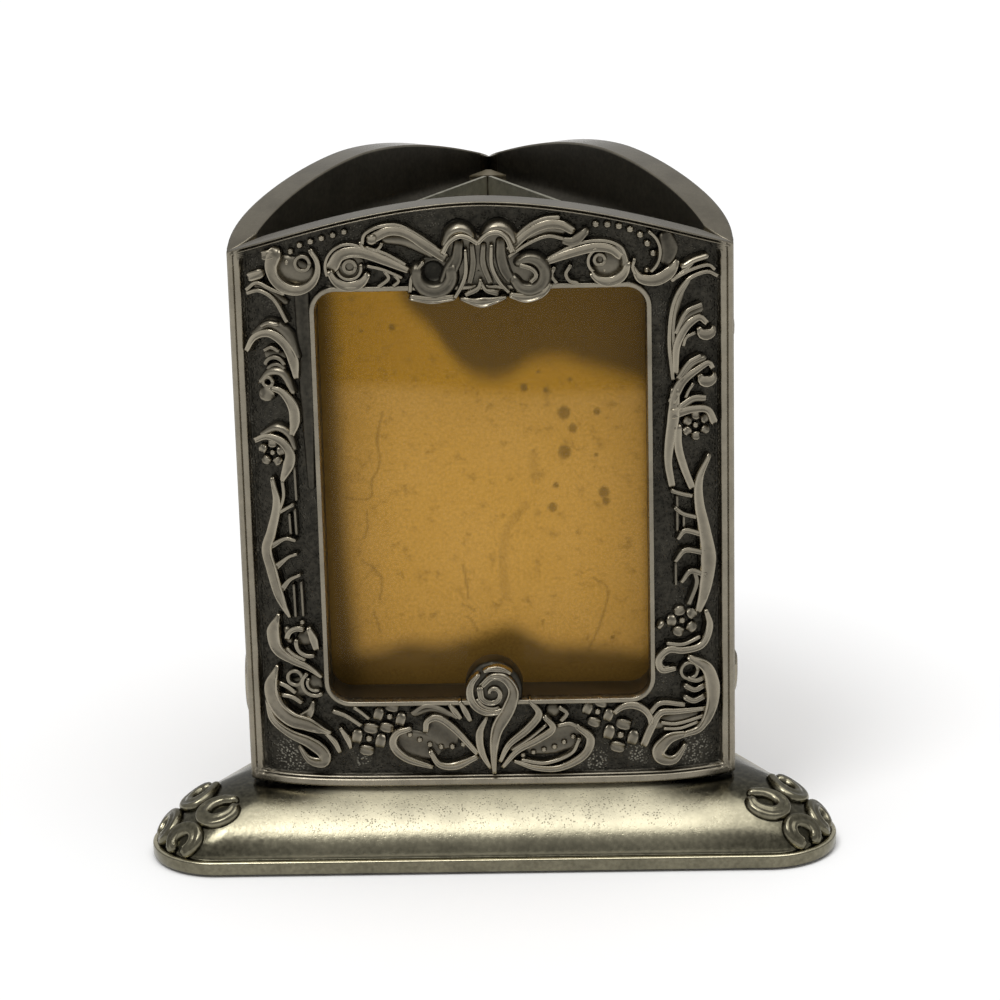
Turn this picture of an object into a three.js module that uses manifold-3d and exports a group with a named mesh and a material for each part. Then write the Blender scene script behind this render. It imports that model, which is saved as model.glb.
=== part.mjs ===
// Three-sided revolving picture frame: a hollow body of three bowed cast panels on a low
// triangular base, with a glazed picture behind each panel. Millimetres, +Z up. The origin is
// on the turning axis, on the surface that the frame stands on, and the first panel faces -Y.
import * as THREE from "three";
import { mergeVertices } from "three/addons/utils/BufferGeometryUtils.js";
import Module from "manifold-3d";

const wasm = await Module();
wasm.setup();

// Base casting: a lip, a narrow ledge, and a rounded flank up to a flat top
const lipReach = 13.45; // lip past the chord of a panel
const lipCornerRadius = 10.7;
const lipHeight = 2.4; // top of the lip above the ground
const ledgeWidth = 1.4;
const baseHeight = 10.3; // flat top above the ground
const topReach = 1.95; // flat top past the chord of a panel
const topCornerRadius = 5;
const flankPower = 1.65; // 2 is an ellipse, less is flatter
const flankSteps = 7;
const cornerSteps = 8;
const baseWall = 3;

// Felt-faced pad in the underside of the base
const padThickness = 1.5;
const padProud = 0.3; // how far the pad stands below the lip
const padMargin = 2.2; // lip left showing round the pad
const padSeatWidth = 1.8; // shoulder that the pad is glued to

// Ring scrolls lying on the corners of the base, in mirrored pairs: degrees up the flank, degrees
// round from the corner, and how far the middle of the roll stands off the flank
const upperScroll = { rise: 50, towards: 37, proud: 0.3, radius: 2.4, roll: 1.1 };
const lowerScroll = { rise: 22, towards: 26, proud: 0.3, radius: 2.1, roll: 1.1 };
const scrollSides = 12;
const leanStep = 0.01; // radians up the flank, over which its lean is taken

// Body: three panels alike, bowed in plan and arched at the top
const faceBow = 4.5; // how far the middle of a panel stands past its chord
const bowPower = 5.6; // flat in the middle, turning at the ends
const windowHead = 5.5; // wall over the window, at the corners
const archRise = 7.8; // more at the middle of a panel
const archPower = 1.8;
const wallThickness = 7.7; // at the middle of a panel, whose back is flat
const curveSteps = 24;

// Relief of a panel: border, sunk field and sash round the window
const fieldDepth = 1.3;
const sideBorder = 1.3;
const footBorder = 1.5;
const archBorder = 0.9;
const sashWidth = 1.1;
const windowLap = 1; // how far the sash covers the picture at each side
const headLap = 0.3; // and at the top
const windowSill = 14.1; // bottom of the window above the foot of the body
const windowCornerRadius = 3;
const crestProud = 0.6; // scrolled crest over the window, past the face
const crestDepth = 2.6;
const curlRadius = 4.3; // curl that rises over the sill
const curlProud = 1.3;
const curlDepth = 3;
const curlRise = 1.6; // centre of the curl above the sill
const curlStem = 1.1; // half width of the curl's stem at the foot

// Scrolls on the field of a panel: ribs with a level top and sloping sides, and round bosses
const ribRise = 1.9; // over the field
const ribSunk = 0.4; // foot of a rib below the field
const ribTop = 0.55; // width of the level top, as a share of the foot
const ribStep = 2.8; // longest straight stretch along a rib
const bossRise = 1.5;
const bossSides = 6;

// Picture packs: pane, card and backing plate, standing on the floor of the body
const pictureWidth = 50.8; // 2 inch
const pictureHeight = 76.2; // 3 inch
const paneThickness = 2;
const cardThickness = 0.5;
const plateThickness = 0.6;
const plateGrip = 5; // how far the plate stands above its picture
const packGap = 0.15; // between the pieces of a pack
const plateInset = 0.1; // of each end of a plate, from the end of its picture
const plateEndGap = 0.25; // between a plate's end and the corner that it shares

// Corner posts and the floor that they are screwed to
const postDrop = 0.5; // top of a post below the corner of the rim
const postNose = 1; // flat towards the mitre
const floorThickness = 2;
const floorCornerRadius = 1.2;
const screwDiameter = 1.6;
const screwHeadDiameter = 3;
const screwHeadHeight = 0.8;
const screwLength = 9;
const screwFromFace = 1.35; // screw's centre behind the face of its post

// Pivot on the axis
const boltDiameter = 5;
const boltHeadDiameter = 9;
const boltHeadHeight = 2.8;
const boltSlotWidth = 1.2;
const boltSlotDepth = 1.2;
const boltTail = 1; // thread past the nut
const thrustWasherDiameter = 18;
const thrustWasherThickness = 0.7;
const springWasherDiameter = 10;
const springWasherThickness = 0.8;
const nutWidth = 8; // across the flats
const nutHeight = 4;
const roundSides = 24;

// Clearances
const turnGap = 0.6; // shadow gap between the base and the foot of the body
const runGap = 0.1; // between the faces stacked on the pivot
const boreGap = 0.2; // round the bolt and the screws, on the radius
const mitreGap = 0.3; // between two panels
const jointGap = 0.15; // between pieces that are soldered, glued or screwed together
const slideGap = 0.3; // between a pack and what guides it
const overcut = 5; // a cutting solid runs this far past the face that it opens

// Worked out
const root3 = Math.sqrt(3);
const plateWidth = pictureWidth - 2 * plateInset;
const plateBack = (plateWidth / 2 + plateEndGap) / root3; // the plates meet at the corners
const plateFront = plateBack + plateThickness;
const cardFront = plateFront + packGap + cardThickness;
const paneFront = cardFront + packGap + paneThickness;
const wellApothem = paneFront + slideGap;
const faceApothem = wellApothem + wallThickness;
const chordApothem = faceApothem - faceBow;
const faceChord = 2 * root3 * chordApothem; // a panel's width, corner to corner
const lipApothem = chordApothem + lipReach;
const topApothem = chordApothem + topReach;
const bodyFoot = baseHeight + turnGap;
const floorFoot = baseHeight + runGap + thrustWasherThickness + runGap;
const floorTop = floorFoot + floorThickness;
const pictureFoot = floorTop + runGap;
const windowWidth = pictureWidth - 2 * windowLap;
const windowFoot = bodyFoot + windowSill;
const windowTop = pictureFoot + pictureHeight - headLap;
const windowHeight = windowTop - windowFoot;
const cornerTop = windowTop + windowHead;
const wellCorner = 2 * wellApothem; // where the backs of two panels would meet
const postRun = root3 * wellApothem - pictureWidth / 2 - slideGap; // along the panel's back
const postDepth = (postRun * root3) / 2;
const postFace = wellCorner - postDepth;
const screwRadius = postFace + screwFromFace;
const boreRadius = boltDiameter / 2 + boreGap;

// Finishes
const finish = (color, roughness, metalness) =>
  new THREE.MeshStandardMaterial({ color, roughness, metalness });
const castMetal = finish(0x8f887a, 0.38, 1);
const paleCastMetal = finish(0xb3aa90, 0.35, 1);
const sheetMetal = finish(0xa8a69c, 0.3, 1);
const steel = finish(0x9a9a98, 0.35, 1);
const brass = finish(0xb08d4a, 0.4, 1);
const paneGlass = finish(0xf2f5f0, 0.05, 0);
paneGlass.transparent = true;
paneGlass.opacity = 0.25;
const agedCard = finish(0xb0802f, 0.8, 0);
const felt = finish(0x2c332b, 0.95, 0);

// A closed geometry as a solid that can be joined and cut
function solid(geometry) {
  const bare = new THREE.BufferGeometry();
  bare.setAttribute("position", geometry.getAttribute("position"));
  bare.setIndex(geometry.index);
  const merged = mergeVertices(bare, 1e-4);
  const vertProperties = merged.getAttribute("position").array;
  const triVerts = new Uint32Array(merged.index.array);
  return new wasm.Manifold(new wasm.Mesh({ numProp: 3, vertProperties, triVerts }));
}

// A solid as a named mesh
function piece(name, body, material) {
  const { vertProperties, triVerts } = body.getMesh();
  const geometry = new THREE.BufferGeometry();
  geometry.setAttribute("position", new THREE.BufferAttribute(vertProperties, 3));
  geometry.setIndex(new THREE.BufferAttribute(triVerts, 1));
  geometry.computeVertexNormals();
  const mesh = new THREE.Mesh(geometry, material);
  mesh.name = name;
  return mesh;
}

// A plan drawn in x and y, raised from one height to another
function upright(shape, low, high) {
  const options = { depth: high - low, bevelEnabled: false, curveSegments: cornerSteps };
  return solid(new THREE.ExtrudeGeometry(shape, options).translate(0, 0, low));
}

// An elevation drawn in x and z, pushed through from y = front to y = back
function through(shape, front, back) {
  const options = { depth: back - front, bevelEnabled: false, curveSegments: cornerSteps };
  const geometry = new THREE.ExtrudeGeometry(shape, options).rotateX(Math.PI / 2);
  return solid(geometry.translate(0, back, 0));
}

function rod(radius, low, high, sides = roundSides, topRadius = radius) {
  const geometry = new THREE.CylinderGeometry(topRadius, radius, high - low, sides);
  return solid(geometry.rotateX(Math.PI / 2).translate(0, 0, (low + high) / 2));
}

function block(width, depth, height, x, y, z) {
  return solid(new THREE.BoxGeometry(width, depth, height).translate(x, y, z));
}

// Points of a triangle with round corners, one side of which faces -Y
function roundTriangle(apothem, radius) {
  const points = [];
  for (let side = 0; side < 3; side++) {
    const normal = -Math.PI / 2 + (side * 2 * Math.PI) / 3;
    const corner = normal + Math.PI / 3;
    const reach = 2 * (apothem - radius);
    for (let step = 0; step <= cornerSteps; step++) {
      const turn = normal + ((step / cornerSteps) * 2 * Math.PI) / 3;
      points.push([
        reach * Math.cos(corner) + radius * Math.cos(turn),
        reach * Math.sin(corner) + radius * Math.sin(turn),
      ]);
    }
  }
  return points;
}

// A solid through convex rings of as many points each, listed from the lowest up
function loft(rings) {
  const count = rings[0].length;
  const index = [];
  for (let level = 0; level + 1 < rings.length; level++)
    for (let i = 0; i < count; i++) {
      const a = level * count + i;
      const b = level * count + ((i + 1) % count);
      index.push(a, b, b + count, a, b + count, a + count);
    }
  const last = (rings.length - 1) * count;
  for (let i = 1; i + 1 < count; i++) index.push(0, i + 1, i, last, last + i, last + i + 1);
  const geometry = new THREE.BufferGeometry();
  geometry.setAttribute("position", new THREE.Float32BufferAttribute(rings.flat(2), 3));
  geometry.setIndex(index);
  return solid(geometry);
}

const ring = (apothem, radius, z) => roundTriangle(apothem, radius).map(([x, y]) => [x, y, z]);
const insetRadius = (inset) => Math.max(lipCornerRadius - inset, topCornerRadius / 2);

function outline(points) {
  return new THREE.Shape(points.map(([x, y]) => new THREE.Vector2(x, y)));
}

// Base: the flank's plan and height at a turn from 0 at the ledge to a quarter at the top
function flankLevel(turn) {
  const out = Math.cos(turn) ** (2 / flankPower);
  const up = Math.sin(turn) ** (2 / flankPower);
  const flankApothem = lipApothem - ledgeWidth;
  const flankRadius = insetRadius(ledgeWidth);
  return {
    apothem: topApothem + (flankApothem - topApothem) * out,
    radius: topCornerRadius + (flankRadius - topCornerRadius) * out,
    z: lipHeight + (baseHeight - lipHeight) * up,
  };
}

function baseFlank() {
  const rings = [ring(lipApothem, lipCornerRadius, padProud)];
  rings.push(ring(lipApothem, lipCornerRadius, lipHeight));
  for (let step = 0; step <= flankSteps; step++) {
    const { apothem, radius, z } = flankLevel(((step / flankSteps) * Math.PI) / 2);
    rings.push(ring(apothem, radius, z));
  }
  return loft(rings);
}

// A ring lying on the flank at one corner: it takes its place and its lean from the flank
function ringScroll({ rise, towards, proud, radius, roll }, corner, hand) {
  const turn = THREE.MathUtils.degToRad(rise);
  const bearing = THREE.MathUtils.degToRad(towards);
  const level = flankLevel(turn);
  const below = flankLevel(turn - leanStep);
  const above = flankLevel(turn + leanStep);
  const reach = (at) => 2 * (at.apothem - at.radius) * Math.cos(bearing) + at.radius;
  const lean = Math.atan2(above.z - below.z, reach(below) - reach(above));
  const geometry = new THREE.TorusGeometry(radius, roll, scrollSides / 2, scrollSides);
  geometry.translate(0, 0, proud).rotateY(lean).translate(level.radius, 0, level.z);
  geometry.rotateZ(hand * bearing).translate(2 * (level.apothem - level.radius), 0, 0);
  return solid(geometry.rotateZ(corner));
}

function baseCasting() {
  const padMouth = lipApothem - padMargin;
  const hollowFoot = padMouth - padSeatWidth;
  const seat = padThickness + jointGap;
  let body = baseFlank();
  for (let side = 0; side < 3; side++) {
    const corner = -Math.PI / 6 + (side * 2 * Math.PI) / 3;
    for (const hand of [-1, 1])
      for (const scroll of [upperScroll, lowerScroll])
        body = body.add(ringScroll(scroll, corner, hand));
  }
  const mouth = loft([
    ring(padMouth, insetRadius(padMargin), padProud - overcut),
    ring(padMouth, insetRadius(padMargin), seat),
  ]);
  const hollow = loft([
    ring(hollowFoot, insetRadius(padMargin + padSeatWidth), seat - jointGap),
    ring(topApothem, topCornerRadius, baseHeight - baseWall),
  ]);
  const bore = rod(boreRadius, 0, baseHeight + overcut);
  return body.subtract(mouth).subtract(hollow).subtract(bore);
}

function basePad() {
  const apothem = lipApothem - padMargin - jointGap;
  const radius = insetRadius(padMargin + jointGap);
  return loft([ring(apothem, radius, 0), ring(apothem, radius, padThickness)]);
}

// Pivot
function washer(diameter, low, thickness) {
  return rod(diameter / 2, low, low + thickness).subtract(
    rod(boreRadius, low - overcut, low + thickness + overcut),
  );
}

const springFoot = floorTop + runGap;
const nutFoot = springFoot + springWasherThickness + runGap;
const nutTop = nutFoot + nutHeight;

function pivotBolt() {
  const headTop = baseHeight - baseWall - runGap;
  const headFoot = headTop - boltHeadHeight;
  const head = rod(boltHeadDiameter / 2, headFoot, headTop);
  const shank = rod(boltDiameter / 2, headFoot, nutTop + boltTail);
  const slot = block(
    boltHeadDiameter + overcut,
    boltSlotWidth,
    2 * boltSlotDepth,
    0,
    0,
    headFoot,
  );
  return head.add(shank).subtract(slot);
}

function pivotNut() {
  const hexagon = rod(nutWidth / root3, nutFoot, nutTop, 6);
  return hexagon.subtract(rod(boreRadius, nutFoot - overcut, nutTop + overcut));
}

// Body
const bowAt = (x) => faceBow * (1 - Math.abs((2 * x) / faceChord) ** bowPower);
const archAt = (x) => archRise * (1 - Math.abs((2 * x) / faceChord) ** archPower);

// Points across a panel, closer together where it turns
function pointsAcross(halfWidth) {
  const points = [];
  for (let step = 0; step <= curveSteps; step++)
    points.push(halfWidth * Math.sin((step / curveSteps - 0.5) * Math.PI));
  return points;
}

function roundedOpening(width, foot, height, radius) {
  const shape = new THREE.Path();
  const x = width / 2 - radius;
  const low = foot + radius;
  const high = foot + height - radius;
  shape.absarc(-x, low, radius, Math.PI, 1.5 * Math.PI);
  shape.absarc(x, low, radius, 1.5 * Math.PI, 2 * Math.PI);
  shape.absarc(x, high, radius, 0, Math.PI / 2);
  shape.absarc(-x, high, radius, Math.PI / 2, Math.PI);
  return shape;
}

// A panel seen from the front, its borders drawn in by the given widths
function elevation(side, foot, arch) {
  const halfWidth = faceChord / 2 - side;
  const top = pointsAcross(halfWidth).map((x) => [-x, cornerTop + archAt(x) - arch]);
  const low = bodyFoot + foot;
  return outline([[-halfWidth, low], [halfWidth, low], ...top]);
}

function panelBlank() {
  const end = faceChord / 2 - mitreGap;
  const back = root3 * wellApothem - mitreGap;
  const bowed = pointsAcross(end).map((x) => [x, -chordApothem - bowAt(x)]);
  const plan = outline([...bowed, [back, -wellApothem], [-back, -wellApothem]]);
  return upright(plan, bodyFoot, cornerTop + archRise);
}

// What is taken off the face of a panel between its border and its sash
function fieldCut() {
  const field = elevation(sideBorder, footBorder, archBorder);
  const sash = roundedOpening(
    windowWidth + 2 * sashWidth,
    windowFoot - sashWidth,
    windowHeight + 2 * sashWidth,
    windowCornerRadius + sashWidth,
  );
  field.holes.push(sash);
  const outside = -faceApothem - overcut;
  const half = faceChord / 2;
  const sunk = pointsAcross(half).map((x) => [-x, -chordApothem - bowAt(x) + fieldDepth]);
  const beyond = outline([[-half, outside], [half, outside], ...sunk]);
  return through(field, outside, -wellApothem).intersect(
    upright(beyond, bodyFoot, cornerTop + archRise),
  );
}

// Half outline of the crest, from its top at the middle of the panel down to its lowest lip:
// distance from the middle, and height above the top of the window
const crestOutline = [
  [0, 8.3],
  [2.4, 10.5],
  [4.6, 8.2],
  [5, 5],
  [7.6, 5.2],
  [9.7, 2],
  [9.9, -0.2],
  [6.8, -1],
  [3.6, -0.4],
  [0, -1.8],
];

function crest() {
  const right = crestOutline.map(([x, z]) => [x, windowTop + z]);
  const left = right.slice(1, -1).map(([x, z]) => [-x, z]);
  const shape = outline([...right, ...left.reverse()]);
  return through(shape, -faceApothem - crestProud, -faceApothem - crestProud + crestDepth);
}

function curl() {
  const centre = windowFoot + curlRise;
  const foot = bodyFoot + footBorder / 2;
  const shape = new THREE.Shape();
  shape.moveTo(-curlStem, foot);
  shape.lineTo(curlStem, foot);
  shape.absarc(0, centre, curlRadius, -Math.PI / 4, (5 * Math.PI) / 4);
  return through(shape, -faceApothem - curlProud, -faceApothem - curlProud + curlDepth);
}

// Scrolls, in millimetres from where each group starts: points along the middle of a rib, and half
// widths spread evenly along it. Over the window, across from its middle and up from its top:
const headScrolls = {
  start: ([x, z]) => [x, windowTop + z],
  ribs: [
    { points: [[-31.2, 5.6], [-30.3, 2.6], [-27.6, 0.8], [-24.9, 1.7], [-24.2, 4]], half: [1.1, 0.8, 0.5] },
    { points: [[-10.5, 3.2], [-14.5, 5.1], [-18.5, 6.3], [-21.6, 4.6]], half: [0.4, 0.8, 0.7] },
    { points: [[-21.6, 4.6], [-21.2, 2], [-19, 1.1], [-17, 2.2]], half: [0.7, 0.5] },
    { points: [[-4.6, 4.8], [-8.5, 7.6], [-12, 9], [-15.3, 8.7], [-16.2, 7]], half: [0.9, 0.9, 0.7] },
    { points: [[4.4, 5], [7.5, 7.9], [10.5, 9.2], [13.2, 8.5]], half: [0.9, 0.9, 0.7] },
    { points: [[10.3, 4.1], [13.8, 5.6], [17.2, 6.4], [20.1, 5.3]], half: [0.4, 0.8, 0.6] },
    { points: [[16.2, 2.6], [17.8, 1.3], [20, 1.6], [21.5, 3.8]], half: [0.4, 0.9, 0.4] },
    { points: [[22.7, 3.8], [23.6, 1.7], [26, 1], [28.8, 3.4]], half: [0.4, 0.9, 0.5] },
  ],
};

// Beside the window, out from its edge and up from its sill:
const leftScrolls = {
  start: ([out, up]) => [-windowWidth / 2 - out, windowFoot + up],
  ribs: [
    { points: [[9.8, 64.3], [7.1, 64], [5, 61.6], [3.7, 58.8]], half: [0.4, 0.5, 0.3] },
    { points: [[10.4, 55.2], [8.6, 57.7], [6.3, 57.8], [4.2, 55], [3.1, 51.3]], half: [0.5, 0.7, 0.9] },
    { points: [[7.4, 49.4], [4.4, 48.6], [3.2, 46], [4.1, 42.2]], half: [0.6, 0.9, 0.4] },
    { points: [[9.4, 41.2], [7, 41.9], [4.6, 40.3], [4.3, 37.7], [5.9, 35]], half: [0.5, 0.9, 0.4] },
    { points: [[7.4, 34], [7.2, 29], [8.7, 24.5], [7.8, 18.5], [5.9, 13.4]], half: [0.5, 1, 0.4] },
    { points: [[7.6, 14], [8.7, 10.8], [7.6, 7.8], [4.6, 6.2], [1.3, 4.4]], half: [0.4, 1, 0.5] },
    { points: [[7.3, 5], [9, 1.6], [8, -1.9], [5.4, -3.5], [2.4, -3.8], [0, -4.7]], half: [0.4, 1.1, 0.5] },
    { points: [[9.8, -2], [8, -4.9], [5, -6], [2.2, -6.8]], half: [0.4, 0.7, 0.8] },
    { points: [[2.2, -6.8], [0.8, -8.7], [2.2, -10], [4.4, -9]], half: [0.8, 0.8, 0.4] },
  ],
  bosses: [
    { point: [8, 48.8], radius: 1.3 },
    { point: [7.6, 39], radius: 2 },
    { point: [2.8, 10], radius: 1.8 },
  ],
};

const rightScrolls = {
  start: ([out, up]) => [windowWidth / 2 + out, windowFoot + up],
  ribs: [
    { points: [[3.5, 47.5], [3.3, 55], [4, 60.3], [6, 63.8], [10, 65]], half: [0.4, 0.6, 0.4] },
    { points: [[4.6, 50.5], [4.9, 54.8], [6.5, 57.7], [8.6, 58.4]], half: [0.5, 0.7, 0.5] },
    { points: [[4, 46], [5.4, 48.8], [7.8, 50.8], [9.6, 50.7]], half: [0.6, 0.7, 0.4] },
    { points: [[4, 43.4], [6.4, 44.8], [8.7, 44.6], [10.2, 42.9]], half: [0.6, 0.6, 0.4] },
    { points: [[4, 47], [3.8, 41.5], [3.7, 36.5], [4.7, 32.5]], half: [0.6, 0.9, 0.4] },
    { points: [[9.5, 36.8], [7.7, 32.5], [8, 27.5], [9.4, 21.5], [7.7, 14]], half: [0.4, 1.1, 0.6] },
    { points: [[9.2, 13.2], [9.2, 9.4], [4, 7.2], [1.8, 6], [2.3, 4.2]], half: [0.4, 0.6, 0.5] },
    { points: [[5.2, 5.4], [8.2, 4.5], [9.9, 1], [8.6, -4], [3.2, -6.3]], half: [0.5, 1, 0.6] },
    { points: [[3.2, -6.3], [1.1, -8.2], [2.2, -10.6], [4.8, -9.8]], half: [0.8, 0.8, 0.4] },
    { points: [[0.3, -5], [1.2, -2.8], [3.2, -1.7], [6, -1.9], [8.6, -2.2]], half: [0.5, 0.7, 0.4] },
  ],
  bosses: [
    { point: [9.1, 56.7], radius: 1.3 },
    { point: [9.1, 49.2], radius: 1.3 },
    { point: [7.8, 42], radius: 2 },
    { point: [5.4, 11.2], radius: 2.2 },
  ],
};

// Under the window, across from the middle of the panel and up from the foot of the body:
const footScrolls = {
  start: ([x, z]) => [x, bodyFoot + z],
  ribs: [
    { points: [[-9.5, 3.2], [-13, 4.8], [-14.4, 7.2], [-13.2, 9.1]], half: [0.4, 0.6, 0.4] },
    { points: [[-9.9, 9.3], [-8.5, 10.9], [-5.5, 9.3], [-2.2, 5.1]], half: [0.5, 0.6, 0.5] },
    { points: [[-9.2, 5.2], [-7.2, 3.5], [-4.5, 3.6], [-2, 5]], half: [0.4, 0.5, 0.4] },
    { points: [[1.3, 3.4], [2.7, 6.8], [5.6, 9.3], [7, 11.5], [6.2, 13]], half: [0.4, 0.7, 0.4] },
    { points: [[1.7, 2.8], [4, 5.5], [7.5, 7.4], [9.2, 9.3], [8.5, 10.8]], half: [0.4, 0.7, 0.4] },
    { points: [[4.4, 4.4], [8.2, 3.1], [12.2, 4.2], [14.3, 7.2], [11.8, 9.6]], half: [0.4, 0.6, 0.4] },
    { points: [[19.3, 11.9], [21.5, 12.5], [23.6, 11.3], [24.4, 9.4]], half: [0.4, 0.5, 0.5] },
  ],
  bosses: [
    { point: [-15.7, 11], radius: 2.1 },
    { point: [-18.8, 7.8], radius: 2.2 },
    { point: [16.3, 11.2], radius: 2.1 },
    { point: [20, 7.6], radius: 2.2 },
  ],
};

// A place on the field of a panel, with the way out of the field and how fast the field turns back
function onField(x, z) {
  const share = Math.abs((2 * x) / faceChord);
  const slope = (-Math.sign(x) * 2 * faceBow * bowPower * share ** (bowPower - 1)) / faceChord;
  const out = new THREE.Vector3(-slope, -1, 0).normalize();
  return { at: new THREE.Vector3(x, fieldDepth - chordApothem - bowAt(x), z), out, slope };
}

// One of some values spread evenly, at a share of the way through them
function between(values, share) {
  const run = share * (values.length - 1);
  const low = Math.min(Math.floor(run), values.length - 2);
  return THREE.MathUtils.lerp(values[low], values[low + 1], run - low);
}

function rib(points, half) {
  const curve = new THREE.SplineCurve(points.map(([x, z]) => new THREE.Vector2(x, z)));
  const steps = Math.ceil(curve.getLength() / ribStep);
  const rings = [];
  for (let step = 0; step <= steps; step++) {
    const share = step / steps;
    const flat = curve.getPointAt(share);
    const heading = curve.getTangentAt(share);
    const { at, out, slope } = onField(flat.x, flat.y);
    const ahead = new THREE.Vector3(heading.x, -slope * heading.x, heading.y);
    const aside = new THREE.Vector3().crossVectors(out, ahead).normalize();
    const width = between(half, share);
    const corner = (across, up) =>
      at.clone().addScaledVector(aside, across * width).addScaledVector(out, up).toArray();
    rings.push([
      corner(-1, -ribSunk),
      corner(1, -ribSunk),
      corner(ribTop, ribRise),
      corner(-ribTop, ribRise),
    ]);
  }
  return loft(rings);
}

function boss([x, z], radius) {
  const { at, out } = onField(x, z);
  const geometry = new THREE.SphereGeometry(1, bossSides, bossSides / 2);
  geometry.scale(radius, bossRise, radius).rotateZ(Math.atan2(out.x, -out.y));
  return solid(geometry.translate(at.x, at.y, at.z));
}

function scrolls() {
  const made = [];
  for (const { start, ribs, bosses = [] } of [headScrolls, leftScrolls, rightScrolls, footScrolls]) {
    for (const { points, half } of ribs) made.push(rib(points.map(start), half));
    for (const { point, radius } of bosses) made.push(boss(start(point), radius));
  }
  return made.reduce((whole, next) => whole.add(next));
}

function panel() {
  const front = elevation(0, 0, 0);
  front.holes.push(
    roundedOpening(windowWidth, windowFoot, windowHeight, windowCornerRadius),
  );
  const face = through(front, -faceApothem - overcut, 0);
  const sunk = panelBlank().intersect(face).subtract(fieldCut());
  return sunk.add(scrolls().intersect(face)).add(crest()).add(curl());
}

// Corner post on the +Y side, filling the corner between the backs of two panels
function cornerPost() {
  const foot = floorTop + jointGap;
  const half = (depth) => (depth - 2 * jointGap) / root3;
  const plan = outline([
    [-half(postDepth), postFace],
    [half(postDepth), postFace],
    [half(postNose), wellCorner - postNose],
    [-half(postNose), wellCorner - postNose],
  ]);
  const hole = rod(screwDiameter / 2 + boreGap, foot - overcut, floorFoot + screwLength + overcut);
  return upright(plan, foot, cornerTop - postDrop).subtract(hole.translate(0, screwRadius, 0));
}

function floorScrew() {
  const neck = floorFoot + screwHeadHeight;
  const head = rod(screwHeadDiameter / 2, floorFoot, neck, roundSides, screwDiameter / 2);
  const shank = rod(screwDiameter / 2, floorFoot, floorFoot + screwLength);
  return head.add(shank).translate(0, screwRadius, 0);
}

function bodyFloor() {
  const plan = outline(roundTriangle(wellApothem - jointGap, floorCornerRadius));
  let plate = upright(plan, floorFoot, floorTop);
  plate = plate.subtract(rod(boreRadius, floorFoot - overcut, floorTop + overcut));
  const neck = floorFoot + screwHeadHeight;
  const sunk = rod(
    screwHeadDiameter / 2 + boreGap,
    floorFoot,
    neck,
    roundSides,
    screwDiameter / 2 + boreGap,
  );
  const hole = rod(screwDiameter / 2 + boreGap, floorFoot - overcut, floorTop + overcut);
  const cut = sunk.add(hole).translate(0, screwRadius, 0);
  for (let corner = 0; corner < 3; corner++)
    plate = plate.subtract(cut.rotate([0, 0, corner * 120]));
  return plate;
}

// A sheet standing on the floor behind the front panel, with its outer face at an apothem
function sheet(width, height, outer, thickness) {
  return block(width, thickness, height, 0, -outer + thickness / 2, pictureFoot + height / 2);
}

const frame = new THREE.Group();
frame.add(
  piece("base_casting", baseCasting(), paleCastMetal),
  piece("base_pad", basePad(), felt),
  piece("pivot_bolt", pivotBolt(), steel),
  piece("thrust_washer", washer(thrustWasherDiameter, baseHeight + runGap, thrustWasherThickness), brass),
  piece("spring_washer", washer(springWasherDiameter, springFoot, springWasherThickness), steel),
  piece("pivot_nut", pivotNut(), brass),
  piece("body_floor", bodyFloor(), sheetMetal),
);

// Each side of the body, turned about the axis from the front
["front", "right", "left"].forEach((name, turn) => {
  const side = new THREE.Group();
  side.rotation.z = (turn * 2 * Math.PI) / 3;
  side.add(
    piece("panel_" + name, panel(), castMetal),
    piece("pane_" + name, sheet(pictureWidth, pictureHeight, paneFront, paneThickness), paneGlass),
    piece("card_" + name, sheet(pictureWidth, pictureHeight, cardFront, cardThickness), agedCard),
    piece(
      "backing_plate_" + name,
      sheet(plateWidth, pictureHeight + plateGrip, plateFront, plateThickness),
      sheetMetal,
    ),
  );
  frame.add(side);
});

["back", "left", "right"].forEach((name, turn) => {
  const corner = new THREE.Group();
  corner.rotation.z = (turn * 2 * Math.PI) / 3;
  corner.add(
    piece("corner_post_" + name, cornerPost(), castMetal),
    piece("floor_screw_" + name, floorScrew(), steel),
  );
  frame.add(corner);
});

export default frame;
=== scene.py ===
import math

import bpy
import numpy as np
from mathutils import Matrix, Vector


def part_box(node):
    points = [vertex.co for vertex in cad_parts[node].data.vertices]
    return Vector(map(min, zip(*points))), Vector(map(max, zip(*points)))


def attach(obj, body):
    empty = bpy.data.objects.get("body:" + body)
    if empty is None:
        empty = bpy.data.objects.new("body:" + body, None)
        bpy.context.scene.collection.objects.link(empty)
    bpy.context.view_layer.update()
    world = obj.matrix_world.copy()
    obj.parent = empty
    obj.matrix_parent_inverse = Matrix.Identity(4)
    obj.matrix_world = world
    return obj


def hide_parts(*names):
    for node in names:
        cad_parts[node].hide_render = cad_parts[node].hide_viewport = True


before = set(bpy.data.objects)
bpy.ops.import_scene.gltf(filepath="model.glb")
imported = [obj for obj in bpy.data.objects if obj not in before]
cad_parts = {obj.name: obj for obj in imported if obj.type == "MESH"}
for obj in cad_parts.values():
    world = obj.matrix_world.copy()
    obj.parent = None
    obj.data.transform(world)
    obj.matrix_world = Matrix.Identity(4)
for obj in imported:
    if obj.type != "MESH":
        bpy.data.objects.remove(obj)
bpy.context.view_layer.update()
mm = 0.001
sides = {"front": 0, "right": 120, "left": 240}  # turn of each panel about the axis, in degrees
corners = (-30, 90, 210)  # bearings of the base's corners


def nodeBox(name):
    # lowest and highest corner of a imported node, in mm
    return [np.array(corner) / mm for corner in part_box(name)]


# Paths and profiles

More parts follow.
